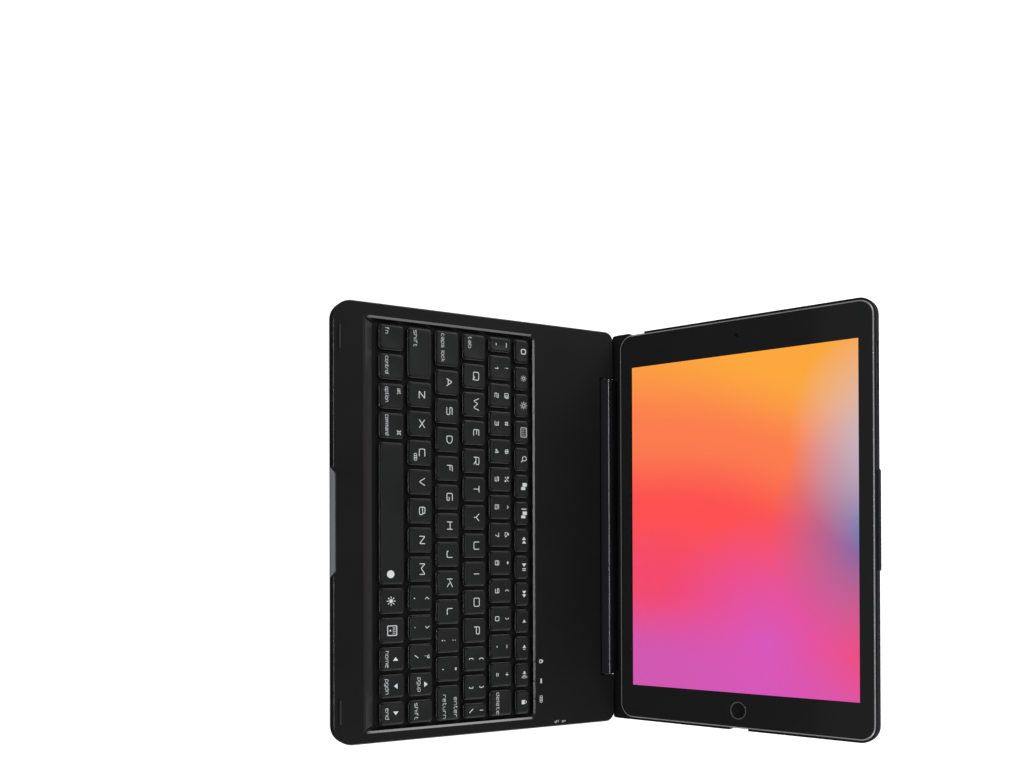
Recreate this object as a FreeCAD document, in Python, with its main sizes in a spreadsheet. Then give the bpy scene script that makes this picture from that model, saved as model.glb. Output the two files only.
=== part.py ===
import FreeCAD, Part

import os
import re

# Tablet keyboard case: a keyboard base, a tablet tray that turns on one long barrel, and the tablet.
# Row frame: origin at the centre of the base footprint on the resting plane, +X to the right of the
# keyboard, +Y to the hinge, +Z up.  Millimetres and degrees.
SIZES = {
    # Base shells
    "base_width": 257.0,
    "base_depth": 188.7,
    "base_height": 8.4,
    "base_corner": 11.5,
    "base_rear_corner": 6.0,
    "base_edge": 1.8,
    "deck_edge": 0.7,
    "shell_height": 6.4,
    "floor_thick": 1.2,
    "wall_thick": 1.4,
    "deck_skin": 1.2,
    "scoop_length": 56.0,
    "scoop_taper": 6.0,
    "scoop_depth": 1.8,
    "scoop_lip": 0.8,
    # Keyboard recess: rectangle at the deck surface and at the recess floor
    "recess_floor": 5.25,
    "recess_centre": 0.8,
    "recess_edge": 0.8,
    "recess_top_half": 120.9,
    "recess_top_front": -75.8,
    "recess_top_rear": 34.8,
    "recess_low_half": 119.0,
    "recess_low_front": -70.2,
    "recess_low_rear": 33.6,
    "recess_corner": 2.6,
    "recess_rim": 1.4,
    # Keys
    "keys_left": -117.85,
    "keys_front": -67.85,
    "row_pitch": 17.7,
    "function_depth": 12.1,
    "key_gap": 2.4,
    "key_bottom": 6.75,
    "key_tall": 1.8,
    "key_corner": 1.7,
    "key_bevel": 0.35,
    "key_wall": 0.9,
    "key_hollow": 0.95,
    "key_unit": 17.37,
    "key_narrow": 11.31,
    "key_tab": 18.05,
    "key_caps": 23.365,
    "key_shift": 32.2,
    "key_first": 17.05,
    "key_arrow": 16.05,
    "key_last": 15.85,
    "key_space": 85.95,
    "key_function": 16.986,
    "dome_base": 2.0,
    "dome_top": 1.3,
    "dome_tall": 1.9,
    "frame_outer": 6.5,
    "frame_inner": 4.3,
    "frame_thick": 0.7,
    # Sheets under the keys
    "membrane_thick": 0.3,
    "plate_thick": 0.6,
    "guide_thick": 0.4,
    # Hinge
    "hinge_y": 89.75,
    "hinge_z": 5.6,
    "barrel_radius": 5.4,
    "barrel_length": 194.0,
    "end_cap": 1.0,
    "notch_length": 195.4,
    "notch_wall_y": 84.0,
    "pin_radius": 1.3,
    "pin_running_gap": 0.05,
    "clip_radius": 3.0,
    "clip_length": 22.0,
    "open_angle": 112.9,
    # Tray, in lid coordinates: X, distance from the hinge axis, height towards the glass
    "tray_half": 126.7,
    "tray_near": 1.9,
    "tray_rim_near": 7.8,
    "tray_far": 184.1,
    "tray_back": -13.25,
    "tray_rim": -4.9,
    "tray_fall": 1.3,
    "tray_inner": -11.95,
    "tray_corner": 10.0,
    "tray_near_corner": 2.0,
    "tray_edge": 4.0,
    "cavity_edge": 3.0,
    "web_end": 6.6,
    "shoulder_offset": 5.37,
    # Tablet
    "tablet_length": 250.6,
    "tablet_width": 174.1,
    "tablet_near": 9.0,
    "tablet_back": -11.85,
    "tablet_metal_top": -4.6,
    "tablet_corner": 9.0,
    "tablet_edge": 3.2,
    "tray_play": 0.1,
    "glass_top": -4.35,
    "glass_low": -5.3,
    "display_length": 207.8,
    "display_width": 155.9,
    "display_low": -6.75,
    "home_x": 114.6,
    "home_radius": 4.8,
    "home_ring": 5.4,
}

ROWS = [
    ("row_pitch", [("fn", "key_first"), ("control", "key_unit"), ("option", "key_unit"),
                   ("command", "key_unit"), ("space", "key_space"), ("backlight", "key_unit"),
                   ("hide_keyboard", "key_unit"), ("arrow_left", "key_arrow"),
                   ("arrow_down", "key_arrow"), ("arrow_right", "key_last")]),
    ("row_pitch", [("shift_left", "key_shift")]
     + [("lower_" + name, "key_unit") for name in "z x c v b n m comma period slash".split()]
     + [("arrow_up", "key_arrow"), ("shift_right", "key_last")]),
    ("row_pitch", [("caps_lock", "key_caps")]
     + [("home_" + name, "key_unit") for name in "a s d f g h j k l semicolon quote".split()]
     + [("enter", "key_caps")]),
    ("row_pitch", [("tab", "key_tab")]
     + [("upper_" + name, "key_unit") for name in "q w e r t y u i o p open close".split()]
     + [("backslash", "key_narrow")]),
    ("row_pitch", [("grave", "key_narrow")]
     + [("number_" + name, "key_unit") for name in "1 2 3 4 5 6 7 8 9 0 minus equals".split()]
     + [("delete", "key_tab")]),
    ("function_depth", [("function_%d" % number, "key_function") for number in range(1, 15)]),
]

GROUPS = {
    "lower_": "keys_lower_letters",
    "home_": "keys_home_letters",
    "upper_": "keys_upper_letters",
    "number_": "keys_numbers",
    "function_": "keys_function_row",
}

# Repeated positions
STATUS_X = (86.4, 98.9, 110.4)
STATUS_Y = 35.1
BUMPER_X = (-113.6, 102.0)
BUMPER_Y = -90.9
MAGNET_X = (-112.0, -78.0, 64.0, 98.0)
PLATE_SCREWS = [(x, y) for y in (-73.6, 35.0) for x in (-100.0, -35.0, 35.0, 75.0)]
BRACKET_SCREWS_X = (-116.0, -111.0, 111.0, 116.0)
BARREL_SCREWS_X = (-84.0, -42.0, 0.0, 42.0, 84.0)
BARREL_SCREW_Z = -10.7

DOC = FreeCAD.newDocument("tablet_keyboard_case")
NODES = []
TOUCH = 0.01


# ------------------------------------------------------------------ helpers

def make_sheet():
    """Write every driving dimension to the sheet as an aliased plain number."""
    sheet = DOC.addObject("Spreadsheet::Sheet", "Sizes")
    for number, (alias, value) in enumerate(SIZES.items(), start=1):
        sheet.set("A%d" % number, alias)
        sheet.set("B%d" % number, str(value))
        sheet.setAlias("B%d" % number, alias)
    DOC.recompute()


def qualified(text):
    """Spell each size name in an expression as a reference to the sheet."""
    return re.sub(r"[a-z][a-z_]+", lambda found: "Sizes." + found.group(0), text)


def bind(obj, path, value):
    """Drive one property of an object from the sheet."""
    obj.setExpression(path, qualified(str(value)))


def place(obj, at):
    for axis, value in zip("xyz", at):
        bind(obj, "Placement.Base." + axis, value)


def box(name, size, at):
    """A block with its low corner at a point."""
    obj = DOC.addObject("Part::Box", name)
    for path, value in zip(("Length", "Width", "Height"), size):
        bind(obj, path, value)
    place(obj, at)
    return obj


def cylinder(name, radius, height, at, axis="Z"):
    """A cylinder that runs from a point along a row axis."""
    turns = {"Z": (0, 0, 1, 0), "X": (0, 1, 0, 90), "Y": (1, 0, 0, -90)}
    x, y, z, angle = turns[axis]
    obj = DOC.addObject("Part::Cylinder", name)
    obj.Placement = FreeCAD.Placement(FreeCAD.Vector(), FreeCAD.Rotation(FreeCAD.Vector(x, y, z), angle))
    bind(obj, "Radius", radius)
    bind(obj, "Height", height)
    place(obj, at)
    return obj


def cone(name, low_radius, high_radius, height, at):
    obj = DOC.addObject("Part::Cone", name)
    bind(obj, "Radius1", low_radius)
    bind(obj, "Radius2", high_radius)
    bind(obj, "Height", height)
    place(obj, at)
    return obj


def wedge(name, near, far, near_span, far_span=None):
    """A block whose near and far Y faces differ: each is (y, low x, high x) with a (low, high) span in Z."""
    far_span = far_span or near_span
    obj = DOC.addObject("Part::Wedge", name)
    values = {"Ymin": near[0], "Xmin": near[1], "Xmax": near[2], "Zmin": near_span[0], "Zmax": near_span[1],
              "Ymax": far[0], "X2min": far[1], "X2max": far[2], "Z2min": far_span[0], "Z2max": far_span[1]}
    for path, value in values.items():
        bind(obj, path, value)
    return obj


def chosen_edges(shape, test):
    return [number for number, edge in enumerate(shape.Edges, start=1) if test(edge)]


def upright(edge):
    box_of_edge = edge.BoundBox
    return box_of_edge.XLength < TOUCH and box_of_edge.YLength < TOUCH


def level_at(height):
    """Test for edges that lie in one horizontal plane."""
    def test(edge):
        found = edge.BoundBox
        return abs(found.ZMin - height) < TOUCH and abs(found.ZMax - height) < TOUCH
    return test


def soften(name, base, test, radius, kind="Part::Fillet"):
    """Round or chamfer the edges of a base that pass a test."""
    base.recompute()
    obj = DOC.addObject(kind, name)
    obj.Base = base
    obj.Edges = [(number, radius, radius) for number in chosen_edges(base.Shape, test)]
    obj.recompute()
    return obj


def rounded_box(name, size, at, radius):
    return soften(name, box(name + "_block", size, at), upright, radius)


def two_radius_box(name, size, at, near, far):
    """A block with one radius on the upright edges at low Y and another on those at high Y."""
    block = box(name + "_block", size, at)
    block.recompute()
    middle = block.Shape.BoundBox.Center.y
    edges = []
    for number in chosen_edges(block.Shape, upright):
        radius = near if block.Shape.Edges[number - 1].BoundBox.YMin < middle else far
        edges.append((number, radius, radius))
    obj = DOC.addObject("Part::Fillet", name)
    obj.Base = block
    obj.Edges = edges
    obj.recompute()
    return obj


def cut(name, base, *tools):
    """Subtract each tool in turn; the last result carries the name."""
    for number, tool in enumerate(tools, start=1):
        label = name if number == len(tools) else "%s_step_%d" % (name, number)
        obj = DOC.addObject("Part::Cut", label)
        obj.Base = base
        obj.Tool = tool
        obj.recompute()
        base = obj
    return base


def gather(kind, name, parts):
    """Join parts: Part::MultiFuse makes one solid, Part::Compound keeps them apart."""
    for part in parts:
        part.recompute()
    obj = DOC.addObject(kind, name)
    if kind == "Part::MultiFuse":
        obj.Shapes = parts
    else:
        obj.Links = parts
    obj.recompute()
    return obj


def fuse(name, *parts):
    return gather("Part::MultiFuse", name, list(parts))


def group(name, parts):
    return gather("Part::Compound", name, list(parts))


def both_sides(name, maker):
    """Two mirrored copies of a piece; the maker gets a name and a sign for X."""
    return [maker(name + "_left", -1), maker(name + "_right", 1)]


def span(low, high, sign):
    """A stretch of X given for the right side, as (start, length) on either side."""
    return (low if sign > 0 else "-(%s)" % high), "(%s) - (%s)" % (high, low)


def node(name, obj):
    """Register a finished piece under its file name."""
    obj.Label = name
    NODES.append(obj)
    return obj


def hang(obj):
    """Seat a lid piece, drawn flat with its glass up, at the resting opening of the hinge."""
    obj.Placement = FreeCAD.Placement(FreeCAD.Vector(), FreeCAD.Rotation(FreeCAD.Vector(1, 0, 0), 45))
    bind(obj, "Placement.Rotation.Angle", "180 - open_angle")
    place(obj, (0, "hinge_y", "hinge_z"))
    return obj


# --------------------------------------------------------------------- base

def inner_room(name, low, high):
    """The hollow inside the base between two heights, clear of the notch and the finger scoop."""
    room = rounded_box(
        name + "_room",
        ("base_width - 2 * wall_thick", "base_depth - 2 * wall_thick", "(%s) - (%s)" % (high, low)),
        ("-base_width / 2 + wall_thick", "-base_depth / 2 + wall_thick", low),
        SIZES["base_corner"] - SIZES["wall_thick"])
    behind = box(name + "_notch_wall",
                 ("notch_length + 2 * wall_thick", 30, "base_height"),
                 ("-notch_length / 2 - wall_thick", "notch_wall_y - wall_thick", low))
    ahead = box(name + "_scoop_wall",
                ("scoop_length + 4 * scoop_taper", 6 + SIZES["scoop_depth"], "base_height"),
                ("-scoop_length / 2 - 2 * scoop_taper", "-base_depth / 2 - 4.6", low))
    return cut(name, room, behind, ahead)


def hinge_notch(name):
    return box(name, ("notch_length", 20, 20), ("-notch_length / 2", "notch_wall_y", -5))


def finger_scoop(name, front_low=-1, rear_low=-1):
    """A tapered bite out of the front edge; its floor can slope, which leaves a lip for the fingertip."""
    return wedge(name,
                 ("-base_depth / 2 - 1", "-scoop_length / 2 - scoop_taper", "scoop_length / 2 + scoop_taper"),
                 ("-base_depth / 2 + scoop_depth", "-scoop_length / 2", "scoop_length / 2"),
                 (front_low, "base_height + 1"), (rear_low, "base_height + 1"))


def pin_passage(name):
    """The bore that lets both pins cross the inner walls of the ears."""
    return cylinder(name, "pin_radius + 0.1", "notch_length + 2 * wall_thick + 1",
                    ("-notch_length / 2 - wall_thick - 0.5", "hinge_y", "hinge_z"), "X")


def make_bottom_shell():
    block = two_radius_box("bottom_block", ("base_width", "base_depth", "shell_height"),
                           ("-base_width / 2", "-base_depth / 2", 0),
                           SIZES["base_corner"], SIZES["base_rear_corner"])
    block = soften("bottom_soft", block, level_at(0), SIZES["base_edge"])
    screw_holes = group("bottom_screw_holes", [
        cylinder("bottom_screw_hole_%d" % number, 0.8, 2, (x, 88.5, 0.5))
        for number, x in enumerate(BRACKET_SCREWS_X)])
    port_hole = rounded_opening("bottom_port_hole", (126, 69.4, 2.3), (4, 9.2, 3.4))
    switch_hole = rounded_opening("bottom_switch_hole", (126, 54.3, 2.8), (4, 7.4, 2.0))
    chamfer = box("bottom_notch_relief", ("notch_length", 1.6, 1.6),
                  ("-notch_length / 2", "notch_wall_y - 0.9", -0.5))
    shell = cut("bottom_shell", block, inner_room("bottom_room", "floor_thick", "base_height"),
                hinge_notch("bottom_notch"), chamfer,
                finger_scoop("bottom_scoop", "scoop_lip", "shell_height"),
                pin_passage("bottom_pin_passage"), port_hole, switch_hole, screw_holes)
    node("bottom_shell", shell)


def rounded_opening(name, at, size):
    """A slot through a side wall, its corners rounded about X."""
    def along_x(edge):
        found = edge.BoundBox
        return found.YLength < TOUCH and found.ZLength < TOUCH
    return soften(name, box(name + "_block", size, at), along_x, 0.7)


def recess_cutter():
    """The sloped hollow of the keyboard recess, open at the deck and at its floor."""
    rise = SIZES["base_height"] - SIZES["recess_floor"]
    obj = DOC.addObject("Part::Wedge", "recess_cutter")
    obj.Placement = FreeCAD.Placement(FreeCAD.Vector(), FreeCAD.Rotation(FreeCAD.Vector(1, 0, 0), 90))
    values = {"Ymin": 0, "Xmin": "-recess_low_half", "Xmax": "recess_low_half",
              "Zmin": "-recess_low_rear", "Zmax": "-recess_low_front",
              "Ymax": rise, "X2min": "-recess_top_half", "X2max": "recess_top_half",
              "Z2min": "-recess_top_rear", "Z2max": "-recess_top_front"}
    for path, value in values.items():
        bind(obj, path, value)
    place(obj, ("recess_centre", 0, "recess_floor"))

    def slanted(edge):
        return edge.BoundBox.ZLength > rise - TOUCH
    return soften("recess_hollow", obj, slanted, SIZES["recess_corner"])


def recess_ring(name, low):
    """The frame that hangs from the deck round the recess."""
    return box(name,
               ("2 * recess_top_half + 2 * recess_rim",
                "recess_top_rear - recess_top_front + 2 * recess_rim", "base_height - 0.4 - (%s)" % low),
               ("recess_centre - recess_top_half - recess_rim", "recess_top_front - recess_rim", low))


def recess_outline(edge):
    """The edges where the recess meets the top of the deck."""
    found = edge.BoundBox
    beside = abs(found.Center.x - SIZES["recess_centre"]) < SIZES["recess_top_half"] + TOUCH
    within = SIZES["recess_top_front"] - TOUCH < found.Center.y < SIZES["recess_top_rear"] + TOUCH
    return beside and within and level_at(SIZES["base_height"])(edge)


def make_top_deck():
    skin = two_radius_box("deck_block", ("base_width", "base_depth", "base_height - shell_height"),
                          ("-base_width / 2", "-base_depth / 2", "shell_height"),
                          SIZES["base_corner"], SIZES["base_rear_corner"])
    skin = soften("deck_soft", skin, level_at(SIZES["base_height"]), SIZES["deck_edge"])
    joined = fuse("deck_joined", skin, recess_ring("recess_ring", "recess_floor"))
    opened = soften("deck_opened", cut("deck_recessed", joined, recess_cutter()), recess_outline,
                    SIZES["recess_edge"], "Part::Chamfer")
    hollow = cut("deck_hollow", inner_room("deck_room", "shell_height - 1", "base_height - deck_skin"),
                 recess_ring("recess_ring_space", 0))
    light_holes = group("deck_light_holes", [
        cylinder("deck_light_hole_%d" % number, 0.55, 4, (x, STATUS_Y, 5.2))
        for number, x in enumerate(STATUS_X)])
    light_slots = group("deck_light_slots", [
        box("deck_light_slot_%d" % number, (1.1, 3, 1.2), (x - 0.55, STATUS_Y, 5.2))
        for number, x in enumerate(STATUS_X)])
    screw_holes = group("deck_screw_holes", [
        cylinder("deck_screw_hole_%d" % number, 0.5, 1.6, (x, y, 5.2))
        for number, (x, y) in enumerate(PLATE_SCREWS)])
    deck = cut("top_deck", opened, hollow, hinge_notch("deck_notch"), finger_scoop("deck_scoop"),
               pin_passage("deck_pin_passage"), light_holes, light_slots, screw_holes,
               bumper_seats("deck_bumper_seat"))
    node("top_deck", deck)


def sheet_under_keys(name, top, thick, margin, front_margin):
    """A flat sheet below the recess that reaches past the recess floor by its margins."""
    return box(name,
               ("2 * recess_low_half + 2 * (%s)" % margin,
                "recess_low_rear - recess_low_front + (%s) + (%s)" % (margin, front_margin), thick),
               ("recess_centre - recess_low_half - (%s)" % margin, "recess_low_front - (%s)" % front_margin,
                "(%s) - (%s)" % (top, thick)))


def screw_passages(name, radius):
    return group(name, [cylinder("%s_%d" % (name, number), radius, 3, (x, y, 3.5))
                        for number, (x, y) in enumerate(PLATE_SCREWS)])


def make_sheets():
    membrane_top = "recess_floor"
    plate_top = "recess_floor - membrane_thick"
    guide_top = "recess_floor - membrane_thick - plate_thick"
    membrane = sheet_under_keys("membrane_sheet", membrane_top, "membrane_thick", 2.4, 5.0)
    node("key_membrane", cut("key_membrane", membrane, screw_passages("membrane_passage", 0.75)))
    plate = sheet_under_keys("plate_sheet", plate_top, "plate_thick", 2.6, 5.2)
    node("key_plate", cut("key_plate", plate, screw_passages("plate_passage", 0.75)))
    node("light_guide", sheet_under_keys("light_guide", guide_top, "guide_thick", -2.0, -2.0))
    screws = []
    for number, (x, y) in enumerate(PLATE_SCREWS):
        shank = cylinder("plate_shank_%d" % number, 0.5, 2.8, (x, y, 4.0))
        head = cylinder("plate_head_%d" % number, 1.0, 0.65, (x, y, 3.7))
        screws.append(fuse("plate_screw_%d" % number, shank, head))
    node("plate_screws", group("plate_screws", screws))


def make_electronics():
    board = box("board_sheet", (66, 38, 1.0), (54, 41, 2.2))
    chips = [box("board_chip_%d" % number, size, at) for number, (size, at) in enumerate([
        ((9, 9, 1.0), (66, 52, 3.2)),
        ((6, 4, 0.9), (80, 60, 3.2)),
        ((12, 8, 1.4), (58, 66, 3.2)),
        ((4, 3, 0.7), (104, 46, 3.2))])]
    node("circuit_board", fuse("circuit_board", board, *chips))
    cells = [rounded_box("cell_%d" % number, (62, 36, 4.2), (x, 42, "floor_thick"), 1.5)
             for number, x in enumerate((-92.0, -26.0))]
    node("battery_pack", group("battery_pack", cells))
    sleeve = rounded_opening("port_sleeve", (120.6, 69.6, 2.5), (7.4, 8.8, 3.0))
    mouth = rounded_opening("port_mouth", (121.4, 70.0, 2.9), (8.0, 8.0, 2.2))
    tongue = box("port_tongue", (5.6, 5.6, 0.7), (121.0, 71.2, 3.65))
    node("charging_port", fuse("charging_port", cut("port_shell", sleeve, mouth), tongue))
    make_power_switch()
    node("status_light_pipes", group("status_light_pipes", [
        make_light_pipe("light_pipe_%d" % number, x) for number, x in enumerate(STATUS_X)]))


def make_light_pipe(name, x):
    """A bent pipe: up through the recess rim, back over the key plate and down to the board."""
    tip = cylinder(name + "_tip", 0.5, "base_height - 5.5 - 0.25", (x, STATUS_Y, 5.5))
    run = box(name + "_run", (0.9, 8.4, 0.8), (x - 0.45, STATUS_Y, 5.5))
    leg = box(name + "_leg", (0.9, 0.9, 2.6), (x - 0.45, STATUS_Y + 7.5, 3.2))
    return fuse(name, tip, run, leg)


def make_power_switch():
    body = box("switch_block", (5.4, 10, 3.9), (121.4, 53, 1.9))
    slot = box("switch_slot", (2.4, 7.2, 1.8), (124.6, 54.4, 2.9))
    node("power_switch_body", cut("power_switch_body", body, slot))
    stem = box("knob_stem", (3.4, 3.0, 1.5), (124.9, 54.6, 3.05))
    ridges = [box("knob_groove_%d" % number, (1, 0.4, 3), (128.0, y, 2.5))
              for number, y in enumerate((55.2, 55.9, 56.6))]
    node("power_switch_knob", cut("power_switch_knob", stem, *ridges))


def make_trim():
    strips = [rounded_box("bumper_%d" % number, (14, 0.95, 1.3), (x, BUMPER_Y, "base_height - 0.35"), 0.4)
              for number, x in enumerate(BUMPER_X)]
    node("bumper_strips", group("bumper_strips", strips))
    magnets = [box("magnet_%d" % number, (14, 6, 2.6), (x, -87.2, "base_height - deck_skin - 2.6"))
               for number, x in enumerate(MAGNET_X)]
    node("closure_magnets", group("closure_magnets", magnets))


def bumper_seats(name):
    return group(name, [box("%s_%d" % (name, number), (14, 0.95, 1), (x, BUMPER_Y, "base_height - 0.35"))
                        for number, x in enumerate(BUMPER_X)])


# -------------------------------------------------------------------- hinge

def make_bracket(name, sign):
    start, length = span("notch_length / 2 + wall_thick + 0.1", 118, sign)
    foot = box(name + "_foot", (length, 8.2, 1.2), (start, 84.3, "floor_thick"))
    start, length = span("notch_length / 2 + wall_thick + 0.1", 108, sign)
    ear = box(name + "_ear", (length, 5.4, "base_height - deck_skin - floor_thick - 0.05"),
              (start, "hinge_y - 2.7", "floor_thick"))
    bore = cylinder(name + "_bore", "pin_radius", 30, (95 if sign > 0 else -125, "hinge_y", "hinge_z"), "X")
    holes = group(name + "_holes", [cylinder("%s_hole_%d" % (name, number), 0.85, 3, (x, 88.5, 1))
                                    for number, x in enumerate(BRACKET_SCREWS_X) if x * sign > 0])
    return cut(name, fuse(name + "_joined", foot, ear), bore, holes)


def make_pin(name, sign):
    start, length = span("barrel_length / 2 - end_cap - clip_length - 2", 107.8, sign)
    return cylinder(name, "pin_radius", length, (start, "hinge_y", "hinge_z"), "X")


def make_hinge_metal():
    for bracket in both_sides("hinge_bracket", make_bracket):
        node(bracket.Name, bracket)
    for pin in both_sides("hinge_pin", make_pin):
        node(pin.Name, pin)
    screws = []
    for number, x in enumerate(BRACKET_SCREWS_X):
        shank = cylinder("bracket_shank_%d" % number, 0.8, 2.2, (x, 88.5, 0.5))
        head = cylinder("bracket_head_%d" % number, 1.5, 0.8, (x, 88.5, 2.4))
        screws.append(fuse("bracket_screw_%d" % number, shank, head))
    node("bracket_screws", group("bracket_screws", screws))


def shoulder_cutter(name):
    """Everything below the 45 degree plane that keeps the spine clear of the desk at full opening."""
    turn = FreeCAD.Rotation(FreeCAD.Vector(1, 0, 0), -45)
    touch = turn.multVec(FreeCAD.Vector(0, 0, -SIZES["shoulder_offset"]))
    corner = touch + turn.multVec(FreeCAD.Vector(-150, -30, -20))
    obj = DOC.addObject("Part::Box", name)
    bind(obj, "Length", 300)
    bind(obj, "Width", 60)
    bind(obj, "Height", 20)
    obj.Placement = FreeCAD.Placement(corner, turn)
    return obj


def make_barrel():
    half = "barrel_length / 2 - end_cap"
    tube = cylinder("barrel_tube", "barrel_radius", "2 * (%s)" % half, ("-(%s)" % half, 0, 0), "X")
    web = box("web_block", ("2 * (%s)" % half, "web_end + 4", "-2 - tray_back"),
              ("-(%s)" % half, -4, "tray_back"))
    groove = box("web_groove", (300, 5, 6), (-150, "web_end - 2.2", "tray_back + 5.3"))
    web = cut("web_shaped", web, groove, shoulder_cutter("web_shoulder"))
    bore_start = "barrel_length / 2 - end_cap - clip_length - 3"
    bores = [cylinder("barrel_bore_right", "clip_radius", 40, (bore_start, 0, 0), "X"),
             cylinder("barrel_bore_left", "clip_radius", 40, ("-(%s) - 40" % bore_start, 0, 0), "X")]
    holes = [cylinder("barrel_screw_hole_%d" % number, 0.7, 10, (x, 3.9, BARREL_SCREW_Z), "Y")
             for number, x in enumerate(BARREL_SCREWS_X)]
    barrel = cut("hinge_barrel", fuse("barrel_joined", tube, web), *bores, *holes)
    node("hinge_barrel", hang(barrel))


def make_barrel_fittings():
    caps = []
    clips = []
    for side, sign in (("left", -1), ("right", 1)):
        start, length = span("barrel_length / 2 - end_cap", "barrel_length / 2", sign)
        disc = cylinder("cap_disc_" + side, "barrel_radius", length, (start, 0, 0), "X")
        hole = cylinder("cap_hole_" + side, "pin_radius + 0.1", 4, ("(%s) - 1" % start, 0, 0), "X")
        caps.append(cut("cap_" + side, disc, hole))
        start, length = span("barrel_length / 2 - end_cap - clip_length", "barrel_length / 2 - end_cap", sign)
        sleeve = cylinder("clip_sleeve_" + side, "clip_radius", length, (start, 0, 0), "X")
        grip = cylinder("clip_bore_" + side, "pin_radius + pin_running_gap", "clip_length + 2",
                        ("(%s) - 1" % start, 0, 0), "X")
        clips.append(cut("clip_" + side, sleeve, grip))
    node("barrel_end_caps", hang(group("barrel_end_caps", caps)))
    node("friction_clips", hang(group("friction_clips", clips)))
    screws = []
    for number, x in enumerate(BARREL_SCREWS_X):
        shank = cylinder("barrel_shank_%d" % number, 0.7, 4.2, (x, 3.9, BARREL_SCREW_Z), "Y")
        head = cylinder("barrel_head_%d" % number, 1.2, 0.8, (x, 8.1, BARREL_SCREW_Z), "Y")
        screws.append(fuse("barrel_screw_%d" % number, shank, head))
    node("barrel_screws", hang(group("barrel_screws", screws)))


# --------------------------------------------------------------------- tray

def tray_openings():
    """Windows and notches for the sockets, buttons and rear camera."""
    left = "-tray_half - 1"
    openings = [
        box("jack_notch", (4, 12, 8), (left, 16, "tray_inner + 2.4")),
        box("charge_notch", (4, 13, 8), ("tray_half - 3", "tablet_near + tablet_width / 2 - 6.5",
                                         "tray_inner + 1.4")),
        box("power_window", (4, 13, 3.4), (left, 158.5, -9.9)),
        box("volume_window", (27, 4, 3.4), (-101, "tray_far - 3", -9.9)),
        rounded_box("camera_window", (13, 13, 4), (-119.5, 164.5, "tray_back - 1"), 3.5),
    ]
    for number, start in enumerate((62, 107.5)):
        openings.append(box("speaker_window_%d" % number, (4, 22, 2.6), ("tray_half - 3", start, -9.4)))
    return openings


def make_tray():
    block = two_radius_box("tray_block",
                           ("2 * tray_half", "tray_far - tray_near", "tray_rim - tray_back"),
                           ("-tray_half", "tray_near", "tray_back"),
                           SIZES["tray_near_corner"], SIZES["tray_corner"])
    slope = wedge("tray_slope", ("tray_near - 1", -150, 150), ("tray_rim_near", -150, 150),
                  ("tray_rim - tray_fall", "tray_rim + 5"), ("tray_rim", "tray_rim + 5"))
    lip = wedge("tray_lip",
                ("tray_far - 2", "-scoop_length / 2 - 4", "scoop_length / 2 + 4"),
                ("tray_far + 0.6", "-scoop_length / 2", "scoop_length / 2"), (-10.5, -6.5))
    cavity = rounded_box("tray_cavity",
                         ("tablet_length + 2 * tray_play", "tablet_width + 2 * tray_play", 20),
                         ("-tablet_length / 2 - tray_play", "tablet_near - tray_play", "tray_inner"),
                         SIZES["tablet_corner"])
    seat = box("barrel_seat", ("barrel_length - 2 * end_cap", 8, 12),
               ("-barrel_length / 2 + end_cap", "web_end - 8", "tray_back - 2"))
    holes = [cylinder("tray_screw_hole_%d" % number, 0.75, 6, (x, 4, BARREL_SCREW_Z), "Y")
             for number, x in enumerate(BARREL_SCREWS_X)]
    sinks = [cylinder("tray_screw_sink_%d" % number, 1.22, 3, (x, 8.1, BARREL_SCREW_Z), "Y")
             for number, x in enumerate(BARREL_SCREWS_X)]
    cavity = soften("tray_cavity_soft", cavity, level_at(SIZES["tray_inner"]), SIZES["cavity_edge"])
    outer = soften("tray_soft", block, back_outline, SIZES["tray_edge"])
    tray = cut("tray_shell", fuse("tray_with_lip", outer, lip), cavity, seat, slope,
               shoulder_cutter("tray_shoulder"), *holes, *sinks, *tray_openings())
    node("tray_shell", hang(tray))


def back_outline(edge):
    """The outline of the tray's back, without the side that faces the hinge."""
    found = edge.BoundBox
    at_back = level_at(SIZES["tray_back"])(edge)
    return at_back and found.YMax > SIZES["tray_near"] + SIZES["tray_near_corner"] + TOUCH


# ------------------------------------------------------------------- tablet

def tablet_sockets():
    middle = SIZES["tablet_near"] + SIZES["tablet_width"] / 2
    right = "tablet_length / 2 - 6"
    tools = [
        rounded_opening("socket_charge", (SIZES["tablet_length"] / 2 - 6, middle - 4.3, -9.7), (9, 8.6, 2.8)),
        cylinder("socket_jack", 1.75, 12, ("-tablet_length / 2 - 1", 23.5, -8.3), "X"),
        box("power_pocket", (3, 9.7, 2.5), ("-tablet_length / 2 - 1", 160.15, -9.45)),
        box("volume_up_pocket", (9.8, 3, 2.5), (-98.1, "tablet_near + tablet_width - 2", -9.45)),
        box("volume_down_pocket", (9.8, 3, 2.5), (-87.1, "tablet_near + tablet_width - 2", -9.45)),
        cylinder("camera_pocket", 3.5, 2, (-113, 171, "tablet_back - 0.5")),
        cylinder("home_pocket", "home_radius + 0.08", 4, ("home_x", middle, -7.1)),
        cylinder("lens_pocket", 1.5, 2, (-115.3, middle, -6.3)),
    ]
    for number in range(6):
        for side, start in (("a", 64.5), ("b", 110.0)):
            tools.append(cylinder("speaker_hole_%s%d" % (side, number), 0.85, 8,
                                  (right, start + 3.4 * number, -8.2), "X"))
    return tools


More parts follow.
